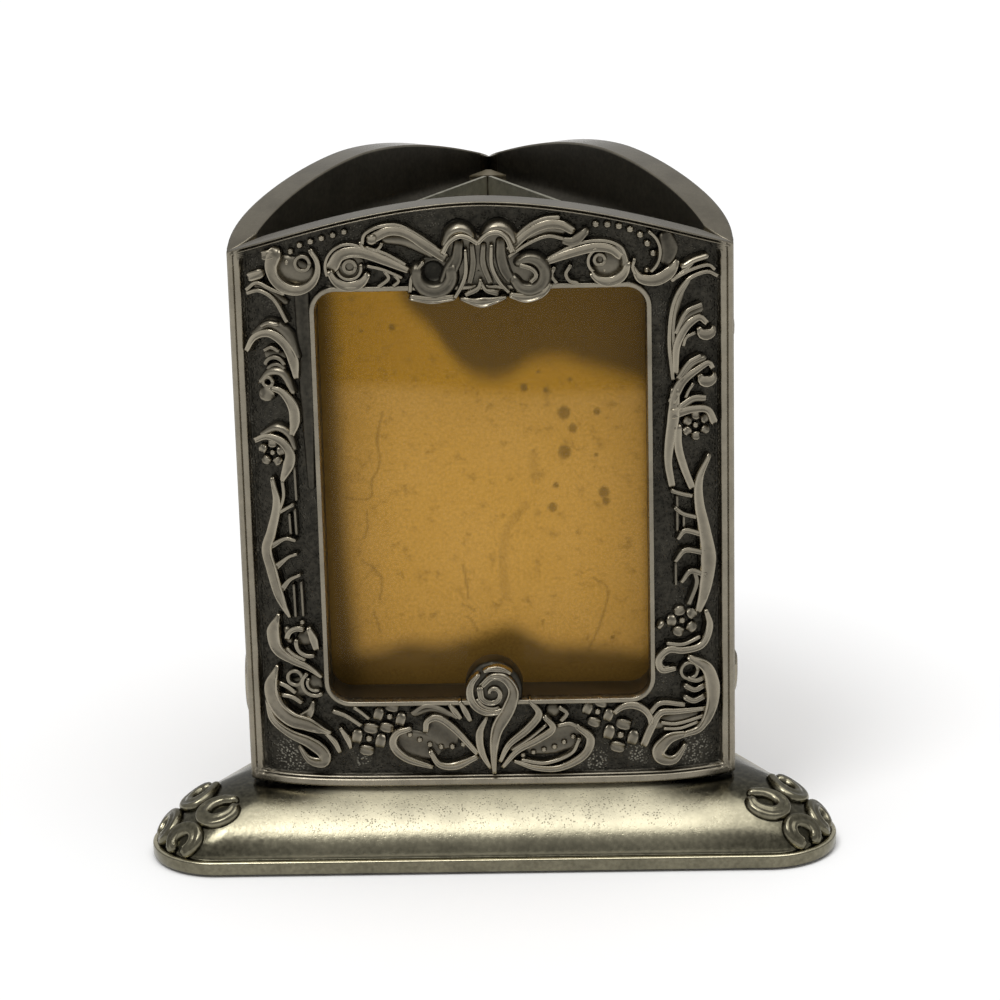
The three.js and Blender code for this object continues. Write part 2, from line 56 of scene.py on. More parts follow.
def smoothPath(knots, spacing=0.35, fine=16):
    # Catmull-Rom curve through the knots, then points at even steps along it
    knots = np.asarray(knots, float)
    ends = np.vstack([2 * knots[0] - knots[1], knots, 2 * knots[-1] - knots[-2]])
    t = np.linspace(0, 1, fine, endpoint=False)[None, :, None]
    p0, p1, p2, p3 = (ends[i:len(ends) - 3 + i, None, :] for i in range(4))
    bend = 2 * p0 - 5 * p1 + 4 * p2 - p3 + t * (3 * (p1 - p2) + p3 - p0)
    curve = p1 + 0.5 * t * (p2 - p0 + t * bend)
    curve = np.vstack([curve.reshape(-1, knots.shape[1]), knots[-1:]])
    return evenly(curve, max(3, int(runOf(curve)[-1] / spacing) + 1))


def runOf(path):
    # distance along a path at each of its points
    return np.r_[0, np.cumsum(np.linalg.norm(np.diff(path, axis=0), axis=1))]


def evenly(path, count, closed=False):
    # points at even steps along a run of straight links
    run = runOf(path)
    at = np.linspace(0, run[-1], count, endpoint=not closed)
    return np.stack([np.interp(at, run, column) for column in path.T], -1)


def nearestOnPath(points, path):
    # distance from each point to a run of straight links, and the share of the run at the nearest place
    link = np.diff(path, axis=0)
    length = np.linalg.norm(link, axis=1) + 1e-9
    away = points[:, None, :] - path[:-1]
    share = np.clip((away * link).sum(2) / length ** 2, 0, 1)
    gap = np.linalg.norm(away - share[..., None] * link, axis=2)
    near = gap.argmin(1)
    rows = np.arange(len(points))
    run = runOf(path)
    return gap[rows, near], (run[near] + share[rows, near] * length[near]) / run[-1]


def ease(low, high, value):
    # 0 at the first value and 1 at the second, level at both
    t = np.clip((value - low) / (high - low), 0, 1)
    return t * t * (3 - 2 * t)


def quarterRound(gap, radius):
    # how far an edge is rounded off at a distance in from it
    inside = np.clip(radius - gap, 0, radius)
    return radius - np.sqrt(radius ** 2 - inside ** 2)


# Strokes of the relief: knots in mm, half widths of the top spread evenly along them, height, shine,
# and the width of the round shoulder beside the top

def band(knots, half, height=1.6, shine=1.0, shoulder=0.26):
    # a top between two shoulders, along a curve through the knots
    half = np.atleast_1d(half) * 1.0
    return dict(knots=knots, half=half, shoulder=shoulder + 0 * half, height=height, shine=shine)


def ridge(knots, half=0.24, height=1.5, shine=0.85, shoulder=0.24):
    # a band with a narrow top
    return band(knots, 0.5 * np.asarray(half), height, shine, shoulder)


def mound(knots, half, height=1.1, shine=0.35, top=0.001):
    # all shoulder, with next to no top
    return band(knots, top + 0 * np.asarray(half), height, shine, np.asarray(half))


def arc(x, z, reach, first, last, count=9):
    # knots on a spiral about a point, whose reach and bearing change evenly
    bearing = np.radians(np.linspace(first, last, count))
    reach = np.linspace(*reach, count) if np.ndim(reach) else reach
    return np.c_[x + reach * np.cos(bearing), z + reach * np.sin(bearing)]


def spot(x, z, half=0.02):
    # knots of a stroke that is as good as a point
    return [(x - half, z), (x + half, z)]


def hoop(x, z, reach, half=0.26, height=1.4, shine=0.7):
    # a ridge round a circle
    return ridge(arc(x, z, reach, 0, 360), half, height, shine)


def dome(x, z, reach, height=1.1, shine=0.35):
    # a mound about a point
    return mound(spot(x, z), reach, height, shine)


def bead(x, z, reach=0.6, height=0.9, shine=0.9, top=0.4):
    # a low round knob
    return band(spot(x, z), top * reach, height, shine, (1 - top) * reach)


def pit(x, z, reach, depth):
    # a bead sunk into the face
    return bead(x, z, reach, -depth, 0.0)


def beadRow(knots, count, reach=0.6):
    # beads at even steps along a curve
    return [bead(x, z, reach) for x, z in evenly(smoothPath(knots), count)]


def fineLines(lines, lean=0.0, half=0.16, height=1.0, shine=0.5):
    # thin upright ridges, each with its place across, its top and its foot
    return [ridge([(x, top), (x + lean, foot)], half, height, shine) for x, top, foot in lines]


blossom = dict(middle=0.36, petal=0.5, shoulder=0.3, height=1.2, shine=0.8, shortest=0.02)


def flower(x, z, reach, petals, first=90):
    # oval petals that lie round a bead and nearly touch
    made = [bead(x, z, blossom["middle"] * reach)]
    thick = blossom["petal"] * reach
    spare = max(reach * math.sin(math.pi / petals) - thick, blossom["shortest"])
    for bearing in np.radians(first + np.arange(petals) * 360 / petals):
        out = np.array([math.cos(bearing), math.sin(bearing)])
        middle, aside = (x, z) + reach * out, spare * np.array([-out[1], out[0]])
        made.append(band([middle - aside, middle + aside], thick - blossom["shoulder"],
                         blossom["height"], blossom["shine"], blossom["shoulder"]))
    return made


def spreadAlong(values, share):
    # values that stand at even steps along a run, read between them
    return np.interp(share, np.linspace(0, 1, len(values)), values)


def strokeRelief(points, strokes, ground):
    # highest stroke over each point, and the shine of that stroke; pits are sunk afterwards
    height, shine = np.zeros(len(points)), np.full(len(points), ground)
    for stroke in sorted(strokes, key=lambda one: one["height"] < 0):
        gap, along = nearestOnPath(points, smoothPath(stroke["knots"]))
        half, shoulder = (spreadAlong(stroke[key], along) for key in ("half", "shoulder"))
        rise = stroke["height"] * np.sqrt(1 - np.clip((gap - half) / shoulder, 0, 1) ** 2)
        over = rise > height
        shine = np.where(over, stroke["shine"], shine)
        height = np.where(over, rise, height) + np.minimum(rise, 0)
    return height, shine


section = dict(across=14, ends=(30, 55, 75, 86), fullHeight=1.6, dishWidth=0.7, dishDepth=0.2,
               dishShade=0.45, worn=(0.05, 0.5))


def sweptBand(path, normal, stroke, depth=0.4):
    # a section with a dished middle and round shoulders, carried along a path on a surface; past each
    # end it shrinks on a quarter circle, and its feet go down into the surface by the depth; the wider
    # the middle is, the deeper the dish and the darker its bottom
    share = runOf(path) / runOf(path)[-1]
    ahead = np.gradient(path, axis=0)
    ahead /= np.linalg.norm(ahead, axis=1)[:, None]
    turn = np.radians(section["ends"])
    count, extra = len(path), len(turn)
    pick = np.r_[np.zeros(extra, int), np.arange(count), np.full(extra, count - 1)]
    grow = np.r_[np.cos(turn)[::-1], np.ones(count), np.cos(turn)]
    past = np.r_[-np.sin(turn)[::-1], np.zeros(count), np.sin(turn)]
    half, shoulder = (spreadAlong(stroke[key], share)[pick] for key in ("half", "shoulder"))
    whole, up = half + shoulder, normal[pick]
    sideways = np.cross(up, ahead[pick])
    middle = path[pick] + (past * whole)[:, None] * ahead[pick]
    aside = np.sin(np.linspace(-0.5, 0.5, section["across"]) * np.pi)
    out = np.abs(aside) * whole[:, None]
    beyond = np.clip((out - half[:, None]) / shoulder[:, None], 0, 1)
    bottom = 1 - np.clip(out / half[:, None], 0, 1) ** 2
    dish = np.clip(half / section["dishWidth"], 0, 1)[:, None] * bottom
    rise = np.sqrt(1 - beyond ** 2) - section["dishDepth"] * dish
    tall = stroke["height"] * np.clip(section["fullHeight"] * whole / whole.max(), 0, 1) ** 0.5 * grow
    lateral = (whole * grow)[:, None] * np.r_[-1, aside, 1]
    lift = np.c_[0 * tall - depth, tall[:, None] * rise, 0 * tall - depth]
    points = middle[:, None] + lateral[..., None] * sideways[:, None] + lift[..., None] * up[:, None]
    worn = stroke["shine"] * ease(*section["worn"], grow[:, None] * np.c_[0 * tall, rise, 0 * tall])
    worn[:, 1:-1] *= 1 - section["dishShade"] * dish
    rows, columns = worn.shape
    i = np.arange(columns // 2 - 1)
    cap = np.c_[i, i + 1, columns - 2 - i, columns - 1 - i]
    faces = np.vstack([gridFaces(rows, columns, False), cap[:, ::-1], cap + (rows - 1) * columns])
    return points.reshape(-1, 3), faces, worn.ravel(), 0 * worn.ravel()


# Meshes

def gridFaces(rows, columns, closeRows):
    # quads between neighbouring rings; each ring is closed, and the rings may close too
    here = np.arange(rows if closeRows else rows - 1)[:, None]
    side = np.arange(columns)[None, :]
    above, beside = (here + 1) % rows, (side + 1) % columns
    quad = [row * columns + column for row, column in
            ((here, side), (here, beside), (above, beside), (above, side))]
    return np.stack(np.broadcast_arrays(*quad), -1).reshape(-1, 4)


def outwards(points, faces):
    # faces turned so that the closed shell has a positive volume
    a, b, c, d = (points[faces[:, i]] for i in range(4))
    volume = (np.cross(b - a, c - a) * a).sum() + (np.cross(c - a, d - a) * a).sum()
    return faces if volume > 0 else faces[:, ::-1]


def joinShells(shells):
    # closed shells as one mesh, each turned outwards: points, faces and two marks
    starts = np.cumsum([0] + [len(shell[0]) for shell in shells])
    faces = [outwards(shell[0], shell[1]) + start for shell, start in zip(shells, starts)]
    points, first, second = ([shell[i] for shell in shells] for i in (0, 2, 3))
    return np.vstack(points), np.vstack(faces), np.concatenate(first), np.concatenate(second)


def turned(points, degrees):
    # points turned about the upright axis
    a = math.radians(degrees)
    spin = np.array([[math.cos(a), -math.sin(a), 0], [math.sin(a), math.cos(a), 0], [0, 0, 1]])
    return points @ spin.T


def makePiece(name, points, faces, material, body, replaced=(), marks=None, uv=None):
    # points in mm; marks are values for each point that the material reads by name
    mesh = bpy.data.meshes.new(name)
    mesh.from_pydata((points * mm).tolist(), [], faces.tolist())
    for key, values in (marks or {}).items():
        mesh.attributes.new(key, "FLOAT", "POINT").data.foreach_set("value", values.astype(np.float32))
    if uv is not None:
        atLoops = np.empty(len(mesh.loops), np.int32)
        mesh.loops.foreach_get("vertex_index", atLoops)
        mesh.uv_layers.new(name="cardMap").data.foreach_set("uv", uv[atLoops].astype(np.float32).ravel())
    mesh.polygons.foreach_set("use_smooth", np.ones(len(mesh.polygons), bool))
    mesh.validate()
    mesh.update()
    mesh.materials.append(material)
    made = bpy.data.objects.new(name, mesh)
    bpy.context.scene.collection.objects.link(made)
    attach(made, body)
    if replaced:
        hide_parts(*replaced)


# Shader nodes

def setInputs(tree, node, inputs):
    # an input that is given another node's socket is linked, and any other is set
    for key, value in inputs.items():
        if isinstance(value, bpy.types.NodeSocket):
            tree.links.new(value, node.inputs[key])
        else:
            node.inputs[key].default_value = value


def addNode(tree, kind, inputs=None, **settings):
    made = tree.nodes.new("ShaderNode" + kind)
    for key, value in settings.items():
        setattr(made, key, value)
    setInputs(tree, made, inputs or {})
    return made


def useGroup(tree, group, inputs):
    return addNode(tree, "Group", inputs, node_tree=group).outputs


def math2(tree, operation, a, b, clamp=False):
    return addNode(tree, "Math", {0: a, 1: b}, operation=operation, use_clamp=clamp).outputs[0]


def mixColor(tree, share, a, b, blend="MIX"):
    made = addNode(tree, "Mix", {0: share, 6: a, 7: b}, data_type="RGBA", blend_type=blend)
    return made.outputs[2]


def shaded(tree, colour, value):
    # the colour times a value
    grey = addNode(tree, "CombineColor", {0: value, 1: value, 2: value}).outputs[0]
    return mixColor(tree, 1.0, colour, grey, "MULTIPLY")


def spread(tree, value, low, high, to=(0.0, 1.0)):
    made = addNode(tree, "MapRange", {0: value, 1: low, 2: high, 3: to[0], 4: to[1]},
                   interpolation_type="SMOOTHSTEP")
    return made.outputs[0]


def newGroup(name, inputs, outputs):
    tree = bpy.data.node_groups.new(name, "ShaderNodeTree")
    for label, kind, value in inputs:
        socket = tree.interface.new_socket(label, in_out="INPUT", socket_type="NodeSocket" + kind)
        socket.default_value = value
    for label, kind in outputs:
        tree.interface.new_socket(label, in_out="OUTPUT", socket_type="NodeSocket" + kind)
    return tree, tree.nodes.new("NodeGroupInput").outputs, tree.nodes.new("NodeGroupOutput")


def objectPlace(tree):
    return addNode(tree, "TexCoord").outputs["Object"]


def noise(tree, size, detail=3.0, roughness=0.55, at=None):
    # cloudy noise whose lumps are about as large as the size, in metres or in the map's units
    place = at or objectPlace(tree)
    made = addNode(tree, "TexNoise", {"Vector": place, "Scale": 1 / size, "Detail": detail,
                                      "Roughness": roughness})
    return made.outputs[0]


def patches(tree, size, low, high, to, detail=3.0, roughness=0.55, at=None):
    # the same noise, spread between two values
    return spread(tree, noise(tree, size, detail, roughness, at), low, high, to)


def mark(tree, name):
    return addNode(tree, "Attribute", attribute_name=name).outputs["Fac"]


def newMaterial(name):
    material = bpy.data.materials.new(name)
    material.use_nodes = True
    tree = material.node_tree
    return material, tree, tree.nodes["Principled BSDF"]


def addBump(tree, shader, height, distance):
    bump = addNode(tree, "Bump", {"Height": height, "Distance": distance})
    tree.links.new(bump.outputs[0], shader.inputs["Normal"])


agedLook = dict(fine=dict(size=0.0007, detail=5.0), grain=0.16,
                tarnish=dict(size=0.006, low=0.35, high=0.75, to=(1.08, 0.84)))


def agedMetalGroup():
    # worn metal over dark tarnish: high places are bright and smooth, low ones dark and dull
    tree, given, out = newGroup(
        "agedMetal",
        [("Worn", "Float", 1.0), ("Bright", "Color", (1, 1, 1, 1)), ("Dark", "Color", (0, 0, 0, 1)),
         ("Smooth", "Float", 0.25), ("Dull", "Float", 0.55), ("Patch", "Float", 0.3)],
        [("Color", "Color"), ("Roughness", "Float"), ("Height", "Float")])
    fine = noise(tree, **agedLook["fine"])
    speck = math2(tree, "SUBTRACT", fine, 0.5)
    wear = math2(tree, "ADD", given["Worn"], math2(tree, "MULTIPLY", speck, given["Patch"]), clamp=True)
    colour = mixColor(tree, wear, given["Dark"], given["Bright"])
    gloss = addNode(tree, "Mix", {0: wear, 2: given["Dull"], 3: given["Smooth"]}).outputs[0]
    grain = math2(tree, "MULTIPLY", speck, agedLook["grain"])
    setInputs(tree, out, {"Color": shaded(tree, colour, patches(tree, **agedLook["tarnish"])),
                          "Roughness": math2(tree, "ADD", gloss, grain, clamp=True), "Height": fine})
    return tree


pitLook = dict(patchScale=0.21, rim=0.34, bottom=0.1, fewest=0.75, all=0.85)


def pitsGroup():
    # small round pits, here and there, of about one size
    tree, given, out = newGroup(
        "pits", [("Size", "Float", 0.0008), ("Share", "Float", 0.3)], [("Mask", "Float")])
    place = objectPlace(tree)
    scale = math2(tree, "DIVIDE", 1.0, given["Size"])
    cells = addNode(tree, "TexVoronoi", {"Vector": place, "Scale": scale, "Randomness": 1.0})
    patchScale = math2(tree, "MULTIPLY", scale, pitLook["patchScale"])
    where = addNode(tree, "TexNoise", {"Vector": place, "Scale": patchScale})
    hole = spread(tree, cells.outputs["Distance"], pitLook["rim"], pitLook["bottom"])
    start = math2(tree, "SUBTRACT", pitLook["fewest"], given["Share"])
    some = spread(tree, where.outputs[0], start, pitLook["all"])
    setInputs(tree, out, {"Mask": math2(tree, "MULTIPLY", hole, some)})
    return tree


agedMetal = agedMetalGroup()
pits = pitsGroup()


def agedNodes(tree, wear, finish):
    # the aged metal with a finish's own values
    values = {key.capitalize(): finish[key] for key in ("bright", "dark", "smooth", "dull", "patch")}
    return useGroup(tree, agedMetal, {"Worn": wear, **values})


panelFinish = dict(
    bright=(0.30, 0.268, 0.205, 1), dark=(0.026, 0.0245, 0.020, 1), smooth=0.2, dull=0.5, patch=0.3,
    stipple=0.00042, stippleDepth=0.00008, dot=(0.55, 0.12), scratch=0.3, fleck=(0.36, 0.34, 0.28, 1),
    rubbed=dict(size=0.004, detail=2.0, low=0.45, high=0.7, to=(0.0, 0.2)))


def panelSilver():
    # aged metal, its ground stippled with fine dots that are bright where it is rubbed
    look = panelFinish
    material, tree, shader = newMaterial("panelSilver")
    metal = agedNodes(tree, mark(tree, "worn"), look)
    grains = addNode(tree, "TexVoronoi", {"Vector": objectPlace(tree), "Scale": 1 / look["stipple"]})
    ground = mark(tree, "ground")
    dot = spread(tree, grains.outputs["Distance"], *look["dot"])
    dot = math2(tree, "MULTIPLY", dot, math2(tree, "MINIMUM", ground, 1.0))
    brighter = math2(tree, "SUBTRACT", ground, 1.0, clamp=True)
    rubbed = math2(tree, "ADD", patches(tree, **look["rubbed"]), brighter, clamp=True)
    fleck = math2(tree, "MULTIPLY", dot, rubbed)
    setInputs(tree, shader, {"Base Color": mixColor(tree, fleck, metal["Color"], look["fleck"]),
                             "Roughness": metal["Roughness"], "Metallic": 1.0})
    scratch = math2(tree, "MULTIPLY", metal["Height"], look["scratch"])
    addBump(tree, shader, math2(tree, "ADD", dot, scratch), look["stippleDepth"])
    return material


baseFinish = dict(
    bright=(0.62, 0.57, 0.405, 1), dark=(0.045, 0.042, 0.028, 1), smooth=0.26, dull=0.22, patch=0.36,
    mattMetal=0.35, mattRough=0.2, pitSize=0.00042, pitShare=0.58, pitShade=0.7, pitDepth=0.0001,
    uneven=0.25)


def baseSilver():
    # polished where it is plain, and matt and pitted along the middle of each side
    look = baseFinish
    material, tree, shader = newMaterial("baseSilver")
    metal = agedNodes(tree, mark(tree, "worn"), look)
    hole = useGroup(tree, pits, {"Size": look["pitSize"], "Share": look["pitShare"]})["Mask"]
    matt = mark(tree, "pitted")
    pitted = math2(tree, "MULTIPLY", hole, matt)
    darker = math2(tree, "MULTIPLY", pitted, look["pitShade"])
    dulled = math2(tree, "MULTIPLY", matt, look["mattRough"])
    setInputs(tree, shader, {"Base Color": mixColor(tree, darker, metal["Color"], look["dark"]),
                             "Roughness": math2(tree, "ADD", metal["Roughness"], dulled),
                             "Metallic": spread(tree, matt, 0.0, 1.0, (1.0, look["mattMetal"]))})
    uneven = math2(tree, "MULTIPLY", metal["Height"], look["uneven"])
    addBump(tree, shader, math2(tree, "SUBTRACT", uneven, pitted), look["pitDepth"])
    return material


plainLook = dict(dull=0.55, patch=0.5, wear=dict(size=0.003, detail=4.0, low=0.25, high=0.75), less=0.3,
                 more=0.15, topLitAbove=1.0, topLitOver=0.0002, bump=0.00004)
plainFinishes = {
    "dullSheet": dict(bright=(0.62, 0.60, 0.50, 1), dark=(0.08, 0.08, 0.065, 1), smooth=0.5, worn=0.85),
    "darkCasting": dict(bright=(0.34, 0.29, 0.19, 1), dark=(0.03, 0.026, 0.018, 1), smooth=0.4, worn=0.4,
                        # the top faces of the corner posts get painted light
                        topLitAbove=nodeBox("corner_post_back")[1][2] * mm - 0.0003),
    "boltSteel": dict(bright=(0.50, 0.50, 0.49, 1), dark=(0.08, 0.08, 0.08, 1), smooth=0.25, worn=0.85),
    "dullBrass": dict(bright=(0.58, 0.42, 0.18, 1), dark=(0.10, 0.06, 0.02, 1), smooth=0.3, worn=0.75)}


def plainMetal(name, finish):
    # the same aged metal for pieces without marks of their own, with painted light on the faces above a
    # height
    look = plainLook | finish
    material, tree, shader = newMaterial(name)
    wear = patches(tree, **look["wear"], to=(look["worn"] - look["less"], look["worn"] + look["more"]))
    height = addNode(tree, "SeparateXYZ", {0: objectPlace(tree)}).outputs["Z"]
    # painted light: faces above the height are made brighter, as if lit from above
    rubbed = spread(tree, height, look["topLitAbove"], look["topLitAbove"] + look["topLitOver"])
    metal = agedNodes(tree, math2(tree, "ADD", wear, rubbed, clamp=True), look)
    setInputs(tree, shader, {"Base Color": metal["Color"], "Roughness": metal["Roughness"],
                             "Metallic": 1.0})
    addBump(tree, shader, metal["Height"], look["bump"])
    return material


cardFinish = dict(
    amber=(0.55, 0.30, 0.06, 1), topAmber=(0.46, 0.235, 0.02, 1), shade=(0.085, 0.047, 0.009, 1),
    stain=(0.19, 0.105, 0.022, 1), cloud=dict(size=0.12, detail=4.0), cloudTint=(0.3, 0.75, (0.0, 0.22)),
    cloudRough=(0.2, 0.8, (0.5, 0.75)), specular=0.06, crumple=dict(size=0.02, detail=4.0), bump=0.00004,
    freckle=dict(size=0.03, detail=5.0, roughness=0.65, low=0.52, high=0.72, to=(0.0, 0.42)),
    grain=dict(size=0.006, detail=4.0, roughness=0.7, low=0.3, high=0.7, to=(0.84, 1.12)))


def agedCard():
    # amber paper, cloudy and freckled, with stains, painted shadows at its top, foot and sides, and a
    # painted glass reflection that lightens its lower part
    look = cardFinish
    material, tree, shader = newMaterial("agedCard")
    place = addNode(tree, "UVMap", uv_map="cardMap").outputs[0]
    cloud = noise(tree, **look["cloud"], at=place)
    cloudy, freckle = spread(tree, cloud, *look["cloudTint"]), patches(tree, **look["freckle"], at=place)
    # painted glass reflection: below its outline the darker top amber gives way to the lighter, greyer
    # amber
    paper = mixColor(tree, mark(tree, "glassReflection"), look["topAmber"], look["amber"])
    for share, key in ((cloudy, "topAmber"), (freckle, "stain"), (mark(tree, "stain"), "stain"),
                       (mark(tree, "shade"), "shade")):
        paper = mixColor(tree, share, paper, look[key])
    paper = shaded(tree, paper, patches(tree, **look["grain"], at=place))
    setInputs(tree, shader, {"Base Color": paper, "Specular IOR Level": look["specular"],
                             "Roughness": spread(tree, cloud, *look["cloudRough"])})
    addBump(tree, shader, noise(tree, **look["crumple"], at=place), look["bump"])
    return material


glassFinish = dict(tint=(0.97, 0.98, 0.96, 1), ior=1.12,
                   smear=dict(size=0.012, detail=4.0, low=0.45, high=0.8, to=(0.0, 0.03)))


def pictureGlass():
    # clear glass that lets lamp light through to the card
    look = glassFinish
    material, tree, shader = newMaterial("pictureGlass")
    setInputs(tree, shader, {"Base Color": look["tint"], "Transmission Weight": 1.0, "IOR": look["ior"],
                             "Roughness": patches(tree, **look["smear"])})
    clear = addNode(tree, "BsdfTransparent")
    path = addNode(tree, "LightPath")
    either = math2(tree, "MAXIMUM", path.outputs["Is Shadow Ray"], path.outputs["Is Diffuse Ray"])
    both = addNode(tree, "MixShader", {0: either, 1: shader.outputs[0], 2: clear.outputs[0]})
    tree.links.new(both.outputs[0], tree.nodes["Material Output"].inputs["Surface"])
    return material


feltFinish = dict(dark=(0.010, 0.016, 0.011, 1), light=(0.035, 0.05, 0.036, 1), rough=0.95, sheen=0.3,
                  fibre=dict(size=0.0006, detail=6.0, roughness=0.7), bump=0.0003)


def padFelt():
    # short dark fibres
    look = feltFinish
    material, tree, shader = newMaterial("padFelt")
    fibre = noise(tree, **look["fibre"])
    setInputs(tree, shader, {"Base Color": mixColor(tree, fibre, look["dark"], look["light"]),
                             "Roughness": look["rough"], "Sheen Weight": look["sheen"]})
    addBump(tree, shader, fibre, look["bump"])
    return material


panelMaterial, baseMaterial, cardMaterial = panelSilver(), baseSilver(), agedCard()
plain = {name: plainMetal(name, finish) for name, finish in plainFinishes.items()}
print("materials made")


# Panel relief, drawn on the front face: across from its middle, and above the ground
crest = dict(
    middle=(-0.1, 92.2), depth=1.7, columns=170, rows=36, rim=smoothPath([
        (0, 97.4), (1, 99.2), (3, 100), (5, 98.8), (5.8, 96.9), (5.6, 95), (8, 94.6), (10, 93.2),
        (10.8, 91), (10.3, 88.9), (7.3, 87.6), (4.2, 88.4), (0.5, 87), (-3.2, 88.2), (-6.6, 87.6),
        (-10.2, 88.2), (-10.7, 90), (-9.7, 92.8), (-7.8, 94.4), (-5.6, 94.6), (-5.6, 97), (-4.6, 99.2),
        (-2.8, 99.9), (-1, 98.9), (0, 97.4)]),
    form=[mound([(-6.5, 91.3), (0, 93.4), (6.5, 91.3)], (4, 5, 4), 1.3, 0.4),
          mound([(-2.8, 97), (3, 97)], 3.2, 1.3, 0.4), pit(-6.7, 92.1, 1.7, 0.9)],
    strips=[
        # the two humps: a high round roll, with a flat rim under it
        mound([(-4.9, 96.5), (-4.1, 98), (-2.7, 98.6), (-1.4, 98.1), (-0.7, 97.2)],
              (0.8, 1.1, 1.2, 1.1, 0.6), 2.5, 0.7),
        mound([(0.6, 97.4), (1.8, 98.5), (3.3, 98.7), (4.6, 97.9), (5.2, 96.6)],
              (0.6, 1.1, 1.2, 1.1, 0.7), 2.5, 0.7),
        band([(-5.2, 95.2), (-4.3, 96.8), (-2.8, 97.7), (-1.3, 97.4), (-0.1, 96.6)],
             (0.25, 0.22, 0.22, 0.22, 0.2), 2.9),
        band([(-0.1, 96.6), (1.3, 97.9), (2.9, 98.2), (4.2, 97.3), (5, 95.3)],
             (0.2, 0.22, 0.22, 0.25, 0.3), 2.9),
        # broad flutes from the humps to the bulbs, and narrow ones between
        band([(-2.9, 96.4), (-3.2, 94.3), (-4.2, 92.4), (-4.9, 90.8)],
             (0.4, 0.55, 0.75, 0.65), 2.3, 0.38, 0.5),
        band([(3.3, 96.6), (3.3, 94.4), (3.8, 92.4), (4.6, 91)], (0.4, 0.5, 0.55, 0.4), 2.3, 0.38, 0.5),
        band([(-0.95, 96.2), (-0.85, 93.4), (-1.4, 90.6)], (0.2, 0.3, 0.25), 2.0, 0.5, 0.35),
        band([(0.75, 96.2), (0.65, 93.4), (1.6, 90.6)], (0.2, 0.3, 0.25), 2.0, 0.5, 0.35),
        ridge([(-1.9, 95.6), (-1.9, 92.4), (-2.5, 90.4), (-3.6, 88.5)], (0.2, 0.36, 0.4, 0.3), 2.6),
        ridge([(1.9, 96.2), (1.9, 93.2), (2.9, 90.8), (4.3, 89.2)], (0.3, 0.36, 0.4, 0.3), 2.6),
        band([(0.2, 91), (-0.2, 89.7), (-2, 88.8)], (0.1, 0.25, 0.2), 2.2, 0.8),
        band([(0.3, 90.6), (1, 89.4), (2.6, 89)], (0.1, 0.2, 0.35), 2.2, 0.8),
        # bulbs: a round roll about a dark pocket, and a volute
        band(arc(-6.6, 91.9, 2.6, 165, 375), (0.2, 0.4, 0.5, 0.5, 0.4), 2.4, 0.4, 0.9),
        ridge([(-10.2, 89.4), (-9.8, 91.7), (-8.2, 93.7)], 0.34, 2.1),
        band(arc(7.3, 91.7, 2.3, 130, -160), (0.1, 0.35, 0.45, 0.45, 0.2), 2.5, 0.42, 0.85),
        ridge([(6.1, 93.2), (7.8, 92.6), (8.4, 91.6), (7.6, 90.7)], 0.4, 2.8, 0.8),
        # lips over the window
        band([(-10, 88.5), (-7, 88.1), (-3.9, 88.4)], (0.35, 0.5, 0.35), 2.3),
        band([(-2.7, 88.2), (0.3, 87.6), (3.8, 88.3)], (0.15, 0.65, 0.15), 2.5),
        band([(4.6, 88.6), (7, 88.2), (9.3, 88.9), (10.4, 90)], (0.3, 0.65, 0.55, 0.2), 2.3)])

curlX, curlZ = 0.6, 26.4
curlTurn = np.linspace(0, 2 * math.pi, 60)
curl = dict(
    middle=(curlX, curlZ), depth=2.4, columns=120, rows=30,
    rim=np.c_[curlX + 4.4 * np.cos(curlTurn), curlZ + 4.6 * np.sin(curlTurn)],
    form=[dome(curlX, curlZ, 5.2, 1.9, 0.16)],
    strips=[
        band([(0.4, 13.2), (0.4, 17), (1, 20.5), (2.8, 23.8), (3.6, 26.6), (2.4, 28.7), (0.4, 29),
              (-1.2, 27.6)],
             (0.2, 0.4, 0.65, 0.95, 0.9, 0.6, 0.45, 0.35), 2.7),
        band(arc(0.4, 26.4, (2, 0.45), 160, 540), (0.4, 0.32, 0.25, 0.15), 2.7, 0.9),
        band(arc(0.4, 26.4, (3.6, 3.1), 125, 300), (0.2, 0.45, 0.5, 0.45, 0.2), 2.6),
        ridge(arc(0.4, 26.4, 2.5, 205, 290), 0.3, 2.4),
        band(arc(0.9, 26.2, 4, 55, 115), (0.15, 0.35, 0.15), 2.2)])

